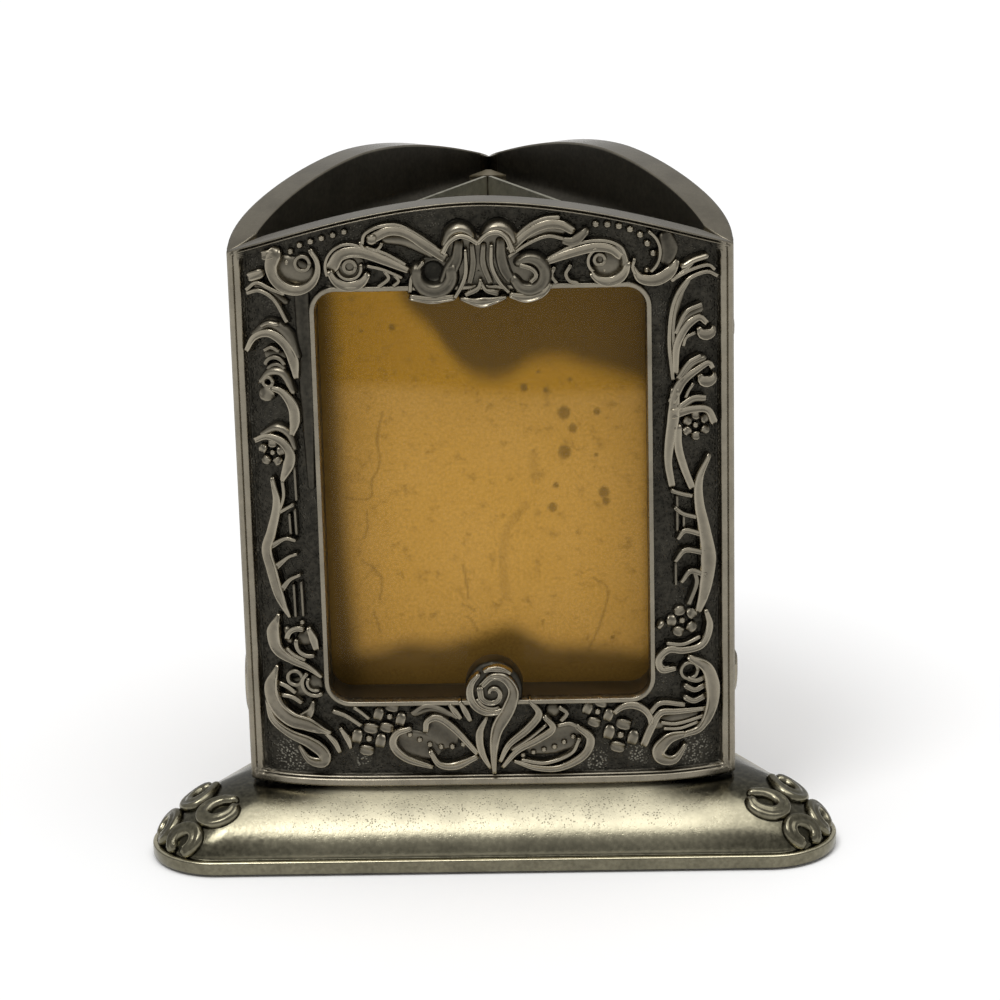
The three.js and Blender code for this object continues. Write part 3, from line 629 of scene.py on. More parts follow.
topStrokes = [
    # left horn with its filling, ring and row of beads
    band(arc(-27.2, 93, 3.5, 150, 405), (1, 0.75, 0.7, 0.6, 0.45, 0.28, 0.22)),
    band([(-31.7, 94.7), (-30.8, 94.8)], 0.55),
    mound([(-28.4, 92.6), (-26, 91.8)], (2.2, 1.9), 0.9, 0.4), hoop(-26, 93.6, 1.1, 0.3),
    *beadRow([(-28.5, 93.6), (-27.6, 95.6), (-25, 96.7), (-19.7, 98.2)], 7, 0.56),
    # left volute
    band([(-10.5, 92.5), (-14, 94.1), (-17.5, 95.3), (-20.3, 94.9), (-21.5, 93.2)],
         (0.35, 0.55, 0.65, 0.7, 0.8)),
    ridge(arc(-19.1, 93, 3.5, 50, 200), 0.26), band(arc(-19.1, 93, 2.9, 195, 335), (0.3, 0.55, 0.65, 0.35)),
    ridge(arc(-19.1, 93, 1.8, 200, 370), 0.26),
    hoop(-19, 93.1, 0.9, 0.34),
    dome(-19.3, 92.9, 2.6, 0.9, 0.4),
    ridge([(-10.8, 93.4), (-13.6, 95), (-16.4, 96)], 0.26),
    ridge([(-11.4, 91.4), (-14, 92.6), (-16.3, 93.2)], 0.26),
    ridge([(-13.9, 92.4), (-13.3, 91.3), (-14.8, 90.1)], 0.34),
    ridge([(-12.4, 91.7), (-11.8, 90.9), (-12.6, 90.2)], 0.3),
    # left hook with a knob at its end
    mound([(-13.6, 97), (-10.4, 96.6), (-7, 94.6)], (0.8, 1.1, 0.7), 1.2, 0.45),
    band([(-15.2, 97.5), (-13, 98.4), (-10.5, 98), (-7.5, 96), (-5, 94.3)], (0.6, 0.55, 0.55, 0.65, 0.6)),
    ridge([(-17, 96.6), (-16.6, 98), (-14.4, 99.1), (-11.6, 99.2), (-8.6, 97.6), (-5.6, 95.3)], 0.3),
    bead(-15.6, 97.2, 1.05, 2.0), ridge(arc(-15.7, 97, 1.6, 190, 340), 0.3),
    # right hook, round at its end
    mound([(7, 97), (10, 98.2), (12.4, 97.9)], (0.8, 1.1, 0.8), 1.2, 0.45),
    band([(4.5, 95.3), (7.2, 97.7), (9.8, 98.9), (12, 98.9), (13.7, 98)], (0.5, 0.5, 0.5, 0.55, 0.45)),
    ridge([(5, 96.6), (7.2, 98.7), (9.6, 99.8), (11.8, 100)], 0.34),
    ridge([(4.3, 94.2), (7, 96), (10, 97.2), (12.4, 96.8)], 0.32),
    band([(12.6, 96.5), (14, 96.4), (15.7, 97.8)], (0.4, 0.6, 0.4), 1.7, 0.7),
    # right volute
    band([(10, 93.4), (13.5, 94.6), (17, 95.4), (19.3, 95.1), (20.7, 94)], (0.35, 0.5, 0.55, 0.55, 0.45)),
    ridge([(10.2, 93.9), (14.3, 95.9), (18, 96.4), (20.8, 95.4), (21.7, 93.2)], 0.28),
    mound([(20.3, 95.4), (21.3, 94), (21.5, 92.5)], 0.8, 1.5, 0.5),
    band(arc(18.9, 93, 2.85, 215, 355), (0.25, 0.55, 0.6, 0.35)), hoop(17.7, 93.5, 0.8, 0.3),
    ridge(arc(17.9, 93.3, 1.9, 110, 230), 0.28), dome(18.9, 92.6, 2.4, 0.9, 0.4), bead(18.4, 91.8, 0.4),
    ridge([(11, 92.4), (10.6, 91.3), (11.3, 90.2)], 0.34),
    ridge([(13.4, 92.7), (12.7, 91.5), (13.3, 90.4), (14.4, 90.1)], 0.34),
    # right horn with its slab and row of beads
    band([(22.6, 92.2), (23.7, 90.5), (26, 90.2), (28, 91.3), (29, 92.7)], (0.2, 0.55, 0.75, 0.8, 0.3)),
    ridge(arc(22.9, 94.4, 3.7, 55, -50), 0.26), ridge([(22.8, 93.4), (22.5, 92.2), (22.9, 91.2)], 0.26),
    band([(27.6, 96.2), (28, 94.6), (27.6, 93.2)], (0.7, 0.95, 0.6), 1.3, 0.3, 0.6), bead(24.7, 91.6, 0.5),
    *beadRow([(17.2, 98.7), (20.4, 98.4), (23.7, 97), (25.7, 94.1)], 7, 0.62)]

leftStrokes = [
    # flat strip beside the window
    band([(-26.5, 88.6), (-26.3, 74), (-26.2, 59)], (0.8, 0.8, 0.2), 0.4, 0.12, 0.4),
    # leaves in the top corner
    band([(-33.9, 91.3), (-32.6, 91.8)], 0.45, 1.6, 0.95, 0.5),
    ridge([(-34.6, 89.3), (-33, 90.5), (-31, 89.7), (-29, 89)], 0.34),
    ridge([(-34.5, 88.8), (-32.6, 89.3), (-30.4, 88), (-28.7, 84.8)], 0.36),
    mound([(-33.6, 89.9), (-31, 89), (-29, 87.6)], 0.6, 0.9, 0.35),
    # arch over nested ribs, with a shoulder behind it
    mound([(-33.8, 82.6), (-31.4, 84.3), (-28.9, 82.8), (-27.4, 79.4)], (0.7, 1, 1.1, 0.7), 1.5, 0.4),
    mound([(-32.4, 84), (-31.4, 84.5), (-30.2, 84.3)], 0.6, 1.8, 0.85),
    band([(-35, 80), (-33.6, 82.2), (-31.4, 82.9), (-29.2, 81.5), (-28, 79.2), (-27.6, 76.3)],
         (0.25, 0.4, 0.5, 0.6, 0.7, 0.3)),
    ridge([(-32.3, 80.2), (-31.3, 80.7), (-30.2, 80.2)], 0.3, 1.4, 0.6),
    ridge(arc(-30.8, 77.7, 1.5, 165, 20), 0.36, 1.4, 0.6),
    ridge(arc(-30.6, 76.6, 1.5, 150, 40), 0.3, 1.3, 0.5), mound([(-32, 79.4), (-30, 79.2)], 0.9, 0.7, 0.35),
    # second arch: dome with an eye, round bulb, arm
    mound([(-33, 75.4), (-31.5, 76.9), (-29.6, 76.7), (-28.2, 74)], (0.7, 0.9, 0.9, 0.6), 1.7, 0.65),
    hoop(-31.9, 75.4, 0.75, 0.3, 1.6),
    band([(-31.6, 74.5), (-29.8, 73.9), (-28.3, 71.8), (-28.1, 69.4), (-28.6, 67.4)],
         (0.25, 0.45, 0.7, 0.7, 0.3)),
    band([(-32.3, 73.6), (-32.2, 73.5)], 1.05, 1.7, 0.85),
    # third arch over a flower
    mound([(-33.2, 67.2), (-31, 68.3), (-29.2, 67.4), (-28.3, 65.2)], (0.6, 0.85, 0.8, 0.5), 1.6, 0.6),
    band([(-34.3, 66.1), (-32.4, 66.9), (-30, 66), (-29, 63.8), (-30.4, 60.1)],
         (0.3, 0.4, 0.55, 0.75, 0.25)),
    *flower(-32, 64.2, 1.5, 5, 87),
    # long leaf with ribs to the window's side
    band([(-32, 60.2), (-31.4, 56.5), (-32.4, 52), (-33.3, 49), (-32.7, 46), (-31.8, 42.2), (-30.3, 38.3)],
         (0.2, 0.5, 0.6, 0.7, 0.75, 0.65, 0.1)),
    ridge([(-30.4, 60), (-30.3, 57.6), (-31, 55.4)], 0.28),
    ridge([(-31.1, 55), (-30, 55.7), (-29, 56.3)], 0.32),
    ridge([(-32.5, 49.6), (-30.4, 50.9), (-28.9, 50.7)], (0.7, 0.4, 0.25)),
    ridge([(-31.8, 46.4), (-30, 48), (-28.8, 48.5)], (0.7, 0.36, 0.25)),
    ridge([(-31.1, 42.9), (-29.9, 44.4), (-28.4, 45.2)], (0.7, 0.4, 0.25)),
    *fineLines([(-28.6, 62, 57), (-28.8, 55.4, 51.6), (-29.7, 54.6, 51.6), (-29.5, 43.4, 38.4),
                (-28.3, 43.8, 38.6)], 0.1),
    # S scroll with a rosette
    band([(-32.1, 38.4), (-32.9, 35.6), (-32.3, 33), (-30, 31.4), (-27.6, 30.3), (-25.8, 28.8)],
         (0.15, 0.95, 0.85, 0.5, 0.38, 0.15)),
    band(arc(-28.9, 34.8, 1.8, 175, 75), 0.3, 1.6),
    band([(-27.3, 36.6), (-26.7, 35.1), (-26.3, 33.5)], (0.25, 0.5, 0.35)),
    ridge(arc(-27.4, 34.2, 2, 170, 285), 0.4), dome(-28.2, 34.8, 1.4, 1.0, 0.3), bead(-28.5, 37.4, 0.5),
    ridge([(-30.8, 33.2), (-29.6, 32.2), (-28.2, 31.6)], 0.3),
    mound([(-31, 36), (-30.6, 34.4)], 0.7, 1.0, 0.5),
    # big scroll with rings and ribs inside
    mound([(-30.2, 26.4), (-27.2, 27.4)], (1.8, 1.6), 0.7, 0.35),
    band([(-32.6, 30.1), (-33.5, 26.6), (-32.7, 23.8), (-30.6, 21.9), (-28, 21.2), (-24.7, 19.8)],
         (0.15, 0.95, 1.05, 1.1, 0.95, 0.15), 2.0),
    band([(-28.8, 21.9), (-27.6, 23.2), (-27.2, 24.6)], (0.8, 0.5, 0.1)), hoop(-29.8, 28.5, 1.15, 0.34),
    ridge(arc(-26.8, 27.7, 1.9, 130, 300), 0.36), ridge(arc(-26.7, 27.8, 1.2, 150, 290), 0.26),
    ridge([(-32.2, 27.5), (-31, 27), (-29.9, 26.2)], 0.4),
    ridge([(-31.9, 25.6), (-30.4, 25.4), (-29, 24.6)], 0.4),
    # scroll under it
    band([(-34.4, 24.3), (-33.5, 21.4), (-31, 19.4), (-27.9, 18.1), (-25.8, 16.4), (-26, 14.9), (-28, 15.2),
          (-29.6, 17.2)], (0.25, 0.45, 0.5, 0.65, 0.9, 0.85, 0.5, 0.15))]

rightStrokes = [
    # leaves in the top corner
    mound([(30, 92), (31.6, 92.8), (33.4, 93.2)], 0.7, 1.7, 0.95),
    ridge([(28.3, 90), (30.4, 91.6), (31.4, 92.6)], 0.34),
    ridge([(28.3, 90.1), (31, 91.4), (33.6, 91.9), (34.6, 91.1)], 0.32),
    # tall leaf of two lines
    mound([(30, 88), (28.7, 84), (28.4, 79)], (0.5, 0.7, 0.6), 0.9, 0.4),
    ridge([(35, 90.1), (33.4, 90.9), (30.6, 89.9), (28.5, 86.6), (27.8, 81), (28.3, 75)], 0.36),
    ridge([(30.8, 89.9), (29, 86.4), (28.4, 81.5), (29.1, 75.5)], 0.32, 1.4, 0.7),
    # three branches that curl over a bulb
    mound([(29, 80.6), (30.2, 83.8), (32.6, 85.2)], (0.7, 0.95, 0.8), 1.2, 0.5),
    ridge([(28.8, 82), (30.3, 85), (32.6, 86)], 0.4),
    band([(28.7, 76), (28.9, 80), (30.3, 82.8), (32.2, 84.1), (33.3, 83.2)], (0.3, 0.42, 0.48, 0.45, 0.3)),
    band(arc(33.4, 82.4, 1.1, 190, 350), (0.3, 0.65, 0.7, 0.6, 0.2)),
    ridge([(29.9, 80), (30.3, 81.2), (31.6, 81.8)], 0.28),
    mound([(29.4, 74.6), (31, 76.9), (33, 77.7)], (0.7, 0.9, 0.7), 1.5, 0.55),
    ridge([(29.1, 75.2), (30.6, 77.3), (32.3, 78.2)], 0.5, 1.8),
    band([(28.2, 71.6), (29.6, 74.4), (32, 76.2), (33.6, 77), (34.2, 76.2)], (0.5, 0.6, 0.45, 0.35, 0.25)),
    band(arc(33.5, 75.2, 1.1, 190, 350), (0.3, 0.7, 0.75, 0.6, 0.2)),
    ridge([(30.2, 72), (30.6, 73), (31.3, 74)], 0.28),
    mound([(29.4, 70.2), (31.2, 71.5), (33, 71.4)], (0.6, 0.8, 0.6), 1.5, 0.55),
    ridge([(29.2, 70.7), (31.2, 71.9), (33, 71.8)], 0.5, 1.8),
    band([(28.4, 69.6), (31, 70.1), (33.4, 69.8), (34.4, 67.8)], (0.65, 0.45, 0.42, 0.45)),
    *flower(31.9, 67.4, 1.6, 6, 90),
    # stems
    band([(28.6, 73), (28.3, 69), (27.7, 65), (27.5, 62), (28, 58.6)], (0.55, 0.8, 0.65, 0.45, 0.4)),
    band([(29, 67.4), (29, 64.5), (29.9, 61), (31, 58)], (0.45, 0.5, 0.45, 0.4)),
    # long leaf with ribs to the window's side
    band([(33.8, 62.5), (32.2, 59.2), (32.1, 55.5), (32.9, 51), (33.5, 46.5), (33, 42), (32, 38.2)],
         (0.2, 0.5, 0.65, 0.85, 1.1, 0.9, 0.35)),
    ridge([(28.1, 57.6), (29.4, 57.1), (31, 56.6)], 0.4),
    ridge([(28.6, 54.8), (29.7, 53.9), (31.6, 53.2)], 0.4),
    *(ridge(knots, (0.3, 0.6, 0.6)) for knots in
      ([(28.9, 50), (30, 51.2), (32.4, 50.4)], [(28.5, 46.5), (30, 48.1), (32.8, 47.4)],
       [(29.4, 43.1), (30.8, 44.7), (33, 43.8)])),
    ridge([(31.4, 44.4), (31.7, 42.6), (30.5, 39.5)], 0.4, 1.4, 0.6),
    *fineLines([(28.9, 56.6, 51.2), (29.9, 53.4, 51.8), (28.6, 46, 42.6)]),
    # blossom
    *flower(29.6, 36.7, 1.75, 5, 105), mound([(26.3, 36.6), (26, 36.1)], 0.65, 1.6, 0.85),
    # S scroll with a hooked end
    band([(33.1, 38), (33.6, 35.4), (32.4, 32.7), (29.6, 32.1), (27.4, 32.4), (25.8, 31), (26.2, 29.2),
          (28.2, 29.3)],
         (0.2, 0.42, 0.45, 0.4, 0.42, 0.42, 0.4, 0.25)),
    ridge([(27.2, 33.4), (29.6, 33.1), (32, 34)], 0.32), ridge(arc(27, 30.4, 0.9, 120, 290), 0.26, 1.4),
    # outer scroll with ribs inside
    band([(30.6, 30.8), (33, 29), (33.9, 25.6), (33.6, 22.3), (32, 19.3), (29.8, 18.5)],
         (0.35, 0.8, 1.05, 0.85, 0.5, 0.35), 2.0),
    hoop(30.5, 28.7, 1.3, 0.3), ridge([(30.4, 27.4), (31.6, 27), (32.6, 27.3)], 0.5),
    ridge([(30, 26.2), (31.3, 25.5), (32.6, 26)], 0.6),
    ridge([(29.9, 24.4), (31.1, 23.8), (32.5, 24.3)], 0.65, 1.7),
    # waves to the foot
    mound([(25.4, 20), (28.4, 20.6), (31.6, 20.8)], (1, 1.5, 1.2), 0.9, 0.45),
    ridge([(24.2, 22), (26, 23.8), (29.6, 23.3)], 0.5),
    band([(23.4, 17.2), (24.6, 20), (26, 22.2), (28.4, 22.3), (32.8, 22.3)], (0.45, 0.5, 0.4, 0.3, 0.2)),
    ridge([(26.2, 20.6), (28.6, 20.3), (33, 21.2)], 0.32),
    ridge([(26.6, 19.6), (29, 19.5), (31.6, 20.2)], 0.28),
    band([(30, 18.5), (27.4, 18), (25.7, 16.2), (26, 14.8), (28, 14.4), (29.8, 16.5)],
         (0.35, 0.65, 0.95, 0.8, 0.5, 0.2))]

footStrokes = [
    # sprays
    ridge([(-24, 23.3), (-22, 22.5), (-20, 21.1)], 0.4),
    ridge([(-20.8, 23.9), (-19.8, 23.2), (-18.7, 22.2)], 0.32),
    band([(-23, 20.5), (-22, 18.8), (-21.6, 17.4)], (0.15, 0.35, 0.15)),
    band([(-25.3, 19.7), (-24, 18.3), (-23.3, 16.7)], (0.15, 0.35, 0.2)),
    # blossoms, in pairs
    *flower(-15.5, 22.2, 1.75, 4, 75), *flower(-18.8, 18.6, 1.85, 4, 78),
    *flower(16.4, 22.5, 1.7, 4, 70), *flower(19.9, 18.6, 1.9, 4, 75),
    # left heart with a row of beads through it
    band([(-12.6, 17.7), (-9.8, 17)], 1.6, 0.45, 0.4, 0.7),
    band([(-8.2, 19.6), (-7, 18.6)], 1.4, 0.45, 0.4, 0.7),
    band([(-12.4, 20.4), (-14.5, 19.6), (-15, 17.6), (-13, 15.5), (-9.2, 14.1)],
         (0.25, 0.45, 0.5, 0.4, 0.2)),
    band([(-10, 20), (-9.7, 21.6), (-8, 22.1), (-5.6, 20.3), (-2.2, 16.3)], (0.3, 0.42, 0.45, 0.38, 0.28)),
    band([(-9.3, 16.5), (-8, 14.5), (-5.6, 14.2), (-2.4, 15.6)], (0.25, 0.4, 0.5, 0.3)),
    *beadRow([(-12.5, 19.2), (-9.1, 17.4), (-6.4, 17.1), (-4.3, 17.5)], 6, 0.55),
    mound([(-11.6, 22.6), (-9, 23.3), (-6.4, 22.4)], 0.7, 0.9, 0.4),
    ridge([(-12, 22.9), (-10, 24.1), (-7.8, 23.7), (-5.1, 22.2)], 0.4, 1.5, 0.7),
    band([(-6.2, 24.3), (-5.4, 23.2), (-4.6, 22.1)], (0.15, 0.4, 0.2), 1.7),
    band([(-4.6, 24.7), (-3.9, 23.4), (-3.1, 21.7)], (0.15, 0.4, 0.2), 1.7),
    # leaves beside the stem
    band([(-0.6, 22.1), (-1.7, 19.6), (-1.5, 16.6), (-0.2, 13.8)], (0.15, 0.5, 0.45, 0.15)),
    band([(6, 24.7), (7.4, 22.6), (5.6, 20.1), (2.7, 17.6), (1.3, 14.9)], (0.15, 0.5, 0.5, 0.4, 0.2)),
    band([(8.3, 22), (9.5, 20.2), (7.2, 18.4), (4, 16.6), (1.7, 14)], (0.25, 0.5, 0.45, 0.36, 0.2)),
    ridge([(8.4, 20.9), (6, 18.9), (3.2, 17)], 0.2, 2.2),
    # right heart
    band([(6.4, 16.4), (9.6, 17.8), (12, 18.4)], (0.5, 1.7, 1.6), 0.45, 0.4, 0.6),
    dome(9.6, 22.8, 1.3, 0.9, 0.45),
    band([(13.2, 20.4), (15.2, 18.4), (14.2, 15.7), (10.6, 13.7), (7, 13.7), (3.6, 14.8)],
         (0.3, 0.55, 0.5, 0.38, 0.32, 0.15)),
    ridge([(13.5, 18.3), (12.2, 16), (8.4, 14.5), (4.7, 15)], 0.34),
    *beadRow([(12.6, 18.5), (10, 17), (7, 16.2), (4.8, 15.6)], 6, 0.52),
    ridge([(10.6, 23.5), (11.7, 22.6), (10.8, 21.4)], 0.4),
    ridge([(10.4, 20.6), (12, 20.9), (13.2, 20.4)], 0.36),
    band(arc(21.4, 20.6, 3.1, 140, 0), (0.25, 0.4, 0.45, 0.4, 0.3))]


# Panels
panelLow, panelHigh = nodeBox("panel_front")
paneHigh = nodeBox("pane_front")[1]
panel = dict(
    halfChord=panelHigh[0] + 0.3, bow=4.5, bowPower=5.6, foot=panelLow[2], archRise=7.8, archPower=1.8,
    crown=panelHigh[2], wellApothem=-panelHigh[1], wellGap=0.02, field=1.3, edge=0.3, hollow=3.2,
    hollowOver=(1.0, 4.0), hollowPower=4,
    windowHalf=paneHigh[0] - 1.0, windowFoot=panelLow[2] + 14.1, windowTop=paneHigh[2] - 0.3,
    windowRound=3.0, windowFlare=0.15, sill=1.5, bossDepth=1.2, across=230, up=290, cornerSteps=12,
    # where the rings lie, as shares of the way across the front, the rim, the back and the reveal
    frontRings=[(0, 0.11, 15), (0.13, 0.82, 10), (0.835, 1, 22)],
    rimRings=(0.06, 0.3, 0.55, 0.8, 0.95, 1.0), backRings=(0.03, *np.linspace(0.1, 0.9, 9), 0.97, 1.0),
    revealRings=(0.1, 0.35, 0.65, 0.9),
    # where each rim ends, in from the edge; then middle, half width and height of the seam, beads and sash
    sideRim=(1.75, 2.0), footRim=(1.1, 1.3), archRim=(0.15, 0.3), sideSeam=(0.85, 0.2, 0.6),
    footBead=(1.5, 0.18, 1.1), archBead=(0.58, 0.2, 1.2), sash=(0.5, 0.25, 1.4),
    # how bright the faces are; the back faces inside the well carry painted shade, and the window's reveal
    # has painted shade on its sides and painted light on its sill
    frontShine=0.74, frontWorn=(0.15, 0.75), groundShine=0.05, rimShine=0.85, backShine=0.2,
    shadedRevealShine=0.12, litSillShine=0.5,
    # heights where the ground ends, and the middle and reach of its bright patches
    groundHeight=(0.12, 0.45), rubbedFull=0.3,
    rubbed=[(-31, 15.6, 4.2), (31.6, 15, 3.4), (16, 14.4, 2.4), (22.4, 15.4, 2.2), (-20, 14.8, 1.6)])
panel["chordApothem"] = panel["halfChord"] / math.sqrt(3)
panel["wellHalf"] = panel["wellApothem"] * math.sqrt(3) - panel["wellGap"]


def bowAt(x):
    # how far the face stands out from its chord: a flat middle that falls away at the ends
    return panel["bow"] * (1 - np.abs(x / panel["halfChord"]) ** panel["bowPower"])


def bowSlope(x):
    # how steeply the bow rises across the face
    share = x / panel["halfChord"]
    steep = -panel["bow"] * panel["bowPower"] / panel["halfChord"]
    return steep * np.sign(share) * np.abs(share) ** (panel["bowPower"] - 1)


def archAt(x):
    # height of the arched top
    return panel["crown"] - panel["archRise"] * np.abs(x / panel["halfChord"]) ** panel["archPower"]


def faceNormal(x):
    # square to the bow, pointing out of the front
    return np.stack([-bowSlope(x), -1 + 0 * x, 0 * x], -1) / np.sqrt(1 + bowSlope(x) ** 2)[..., None]


def onFace(x, z, height):
    # point on the bowed face, raised along its normal by a height over the sunk field
    face = np.stack([x, -panel["chordApothem"] - bowAt(x), z + 0 * x], -1)
    return face + (height - panel["field"] + 0 * x)[..., None] * faceNormal(x)


def backAt(x, z):
    # the flat rear face, hollowed above the window so that the arched rim is thinner
    near, full = (panel["windowTop"] + over for over in panel["hollowOver"])
    depth = panel["hollow"] * ease(near, full, z)
    return -panel["wellApothem"] - depth * (1 - np.abs(x / panel["halfChord"]) ** panel["hollowPower"])


def rimLoop(halfWidth):
    # outer outline of a panel, anticlockwise from the foot's left end
    x = np.linspace(-halfWidth, halfWidth, panel["across"], endpoint=False)
    top = archAt(np.array(halfWidth))
    z = panel["foot"] + (top - panel["foot"]) * np.linspace(0, 1, panel["up"], endpoint=False)
    upright = halfWidth + 0 * z
    return np.r_[np.c_[x, panel["foot"] + 0 * x], np.c_[upright, z], np.c_[-x, archAt(-x)],
                 np.c_[-upright, panel["foot"] + top - z]]


def windowLoop(grow=0.0):
    # the window's round-cornered outline, its four sides cut at the middle of the corners
    radius = panel["windowRound"] + grow
    half = panel["windowHalf"] - panel["windowRound"]
    low, high = panel["windowFoot"] + panel["windowRound"], panel["windowTop"] - panel["windowRound"]
    middles = np.array([(-half, low), (half, low), (half, high), (-half, high)])
    parts = []
    for side, count in enumerate([panel["across"], panel["up"], panel["across"], panel["up"]]):
        first = np.radians(np.linspace(225, 270, panel["cornerSteps"]) + 90 * side)
        arcs = [middles[(side + i) % 4] + radius * np.c_[np.cos(a), np.sin(a)]
                for i, a in enumerate((first, first + np.pi / 4))]
        parts.append(evenly(np.vstack(arcs), count, True))
    return np.vstack(parts)


def windowGap(x, z):
    # distance outside the window's edge
    dx = np.abs(x) - (panel["windowHalf"] - panel["windowRound"])
    top, foot = panel["windowTop"], panel["windowFoot"]
    middle, half = (top + foot) / 2, (top - foot) / 2
    dz = np.abs(z - middle) - (half - panel["windowRound"])
    outside = np.hypot(np.maximum(dx, 0), np.maximum(dz, 0))
    return outside + np.minimum(np.maximum(dx, dz), 0) - panel["windowRound"]


def lineBead(gap, middle, half, height, level=0.0):
    # a round bead that runs along an edge at a distance from it, with a level top where one is given
    return height * np.sqrt(1 - np.clip((np.abs(gap - middle) - level) / half, 0, 1) ** 2)


def borderHeight(x, z):
    # level rims at the sides, foot and arch, a seam along the sides, a fine bead inside the foot and the
    # arch, and a flat sash round the window
    side, foot, arch = panel["halfChord"] - np.abs(x), z - panel["foot"], archAt(x) - z
    rims = [panel["field"] * (1 - ease(*panel[key], gap))
            for key, gap in (("sideRim", side), ("footRim", foot), ("archRim", arch))]
    rims[0] = rims[0] - lineBead(side, *panel["sideSeam"])
    beads = [lineBead(foot, *panel["footBead"]), lineBead(arch, *panel["archBead"]),
             lineBead(windowGap(x, z), *panel["sash"], panel["sash"][1])]
    edge = np.minimum(np.minimum(side, foot), arch)
    return np.maximum.reduce(rims + beads) - quarterRound(np.maximum(edge, 0), panel["edge"])


def groundMark(x, z, height):
    # 1 on the stippled ground, up to 2 where it is rubbed bright
    patch = 0 * x
    for px, pz, reach in panel["rubbed"]:
        patch = np.maximum(patch, ease(reach, panel["rubbedFull"] * reach, np.hypot(x - px, z - pz)))
    return (1 - ease(*panel["groundHeight"], height)) * (1 + patch)


def panelSolid():
    # rings from the window's edge out to the rim, round it to the back, and through the window again
    share = np.concatenate([np.linspace(*run) for run in panel["frontRings"]])
    flat = windowLoop() + share[:, None, None] * (rimLoop(panel["halfChord"]) - windowLoop())
    height = borderHeight(flat[..., 0], flat[..., 1])
    rings = [onFace(flat[..., 0], flat[..., 1], height)]
    marks = [np.maximum(panel["frontShine"] * ease(*panel["frontWorn"], height), panel["groundShine"])]
    front, frontRim = rings[0][0], rings[0][-1]

    def addRing(loop, y, shine):
        rings.append(np.c_[loop[:, 0], y, loop[:, 1]][None])
        marks.append(np.broadcast_to(shine, (1, len(loop))))

    for share in panel["rimRings"]:
        rim = rimLoop(panel["halfChord"] + share * (panel["wellHalf"] - panel["halfChord"]))
        y = frontRim[:, 1] + share * (backAt(*rim.T) - frontRim[:, 1])
        addRing(rim, y, panel["rimShine"])
    for share in panel["backRings"]:
        loop = rim + share * (windowLoop(panel["windowFlare"]) - rim)
        # the back faces inside the well are painted dark as shade
        addRing(loop, backAt(*loop.T), panel["backShine"])
    for share in panel["revealRings"]:
        # painted light on the sill at the window's foot, painted shade on the reveal's other sides
        loop = windowLoop(panel["windowFlare"] * (1 - share))
        onSill = loop[:, 1] < panel["windowFoot"] + panel["sill"]
        addRing(loop, -panel["wellApothem"] + share * (front[:, 1] + panel["wellApothem"]),
                np.where(onSill, panel["litSillShine"], panel["shadedRevealShine"]))
    worn = np.concatenate(marks)
    ground = np.zeros(worn.shape)
    ground[:len(flat)] = groundMark(flat[..., 0], flat[..., 1], height)
    return np.concatenate(rings).reshape(-1, 3), gridFaces(*worn.shape, True), worn.ravel(), ground.ravel()


boss = dict(ground=0.2, least=0.35, edge=0.4, worn=(0.4, 1.6), backShine=0.3, backRings=4,
            inmost=0.0003, inmostBehind=0.001)


def domedShell(part):
    # a domed plate over its own outline: rings from its middle to its edge, round it and closed behind
    rim, middle = evenly(part["rim"], part["columns"], True), np.array(part["middle"])
    share = np.sin(np.linspace(boss["inmost"], 0.5, part["rows"]) * np.pi)[:, None, None]
    flat = middle + share * (rim - middle)
    height, shine = strokeRelief(flat.reshape(-1, 2), part["form"], boss["ground"])
    gap = nearestOnPath(flat.reshape(-1, 2), part["rim"])[0]
    height = (np.maximum(height, boss["least"]) - quarterRound(gap, boss["edge"])).reshape(flat.shape[:2])
    worn = shine.reshape(flat.shape[:2]) * ease(*boss["worn"], height)
    share = np.linspace(1, boss["inmostBehind"], boss["backRings"])[:, None, None]
    behind = middle + share * (rim - middle)
    rings = np.concatenate([onFace(flat[..., 0], flat[..., 1], height),
                            onFace(behind[..., 0], behind[..., 1], -part["depth"])])
    worn = np.r_[worn, np.full(behind.shape[:2], boss["backShine"])]
    return rings.reshape(-1, 3), gridFaces(*worn.shape, True), worn.ravel(), 0 * worn.ravel()


def panelStrip(stroke, depth=0.4):
    # a stroke carried along the panel's face
    path = smoothPath(stroke["knots"])
    return sweptBand(onFace(path[:, 0], path[:, 1], 0.0), faceNormal(path[:, 0]), stroke, depth)


casting = joinShells([panelSolid(), domedShell(crest), domedShell(curl)])
relief = [panelStrip(stroke) for stroke in topStrokes + leftStrokes + rightStrokes + footStrokes]
relief += [panelStrip(stroke, panel["bossDepth"]) for stroke in crest["strips"] + curl["strips"]]
relief = joinShells(relief)
for sideName, degrees in sides.items():
    for name, shell, replaced in (("panel.", casting, ["panel_" + sideName]), ("relief.", relief, [])):
        makePiece(name + sideName, turned(shell[0], degrees), shell[1], panelMaterial, "frame",
                  replaced, dict(worn=shell[2], ground=shell[3]))
print("panels made,", len(casting[1]) * 2, "triangles each, and", len(relief[1]) * 2, "of relief")


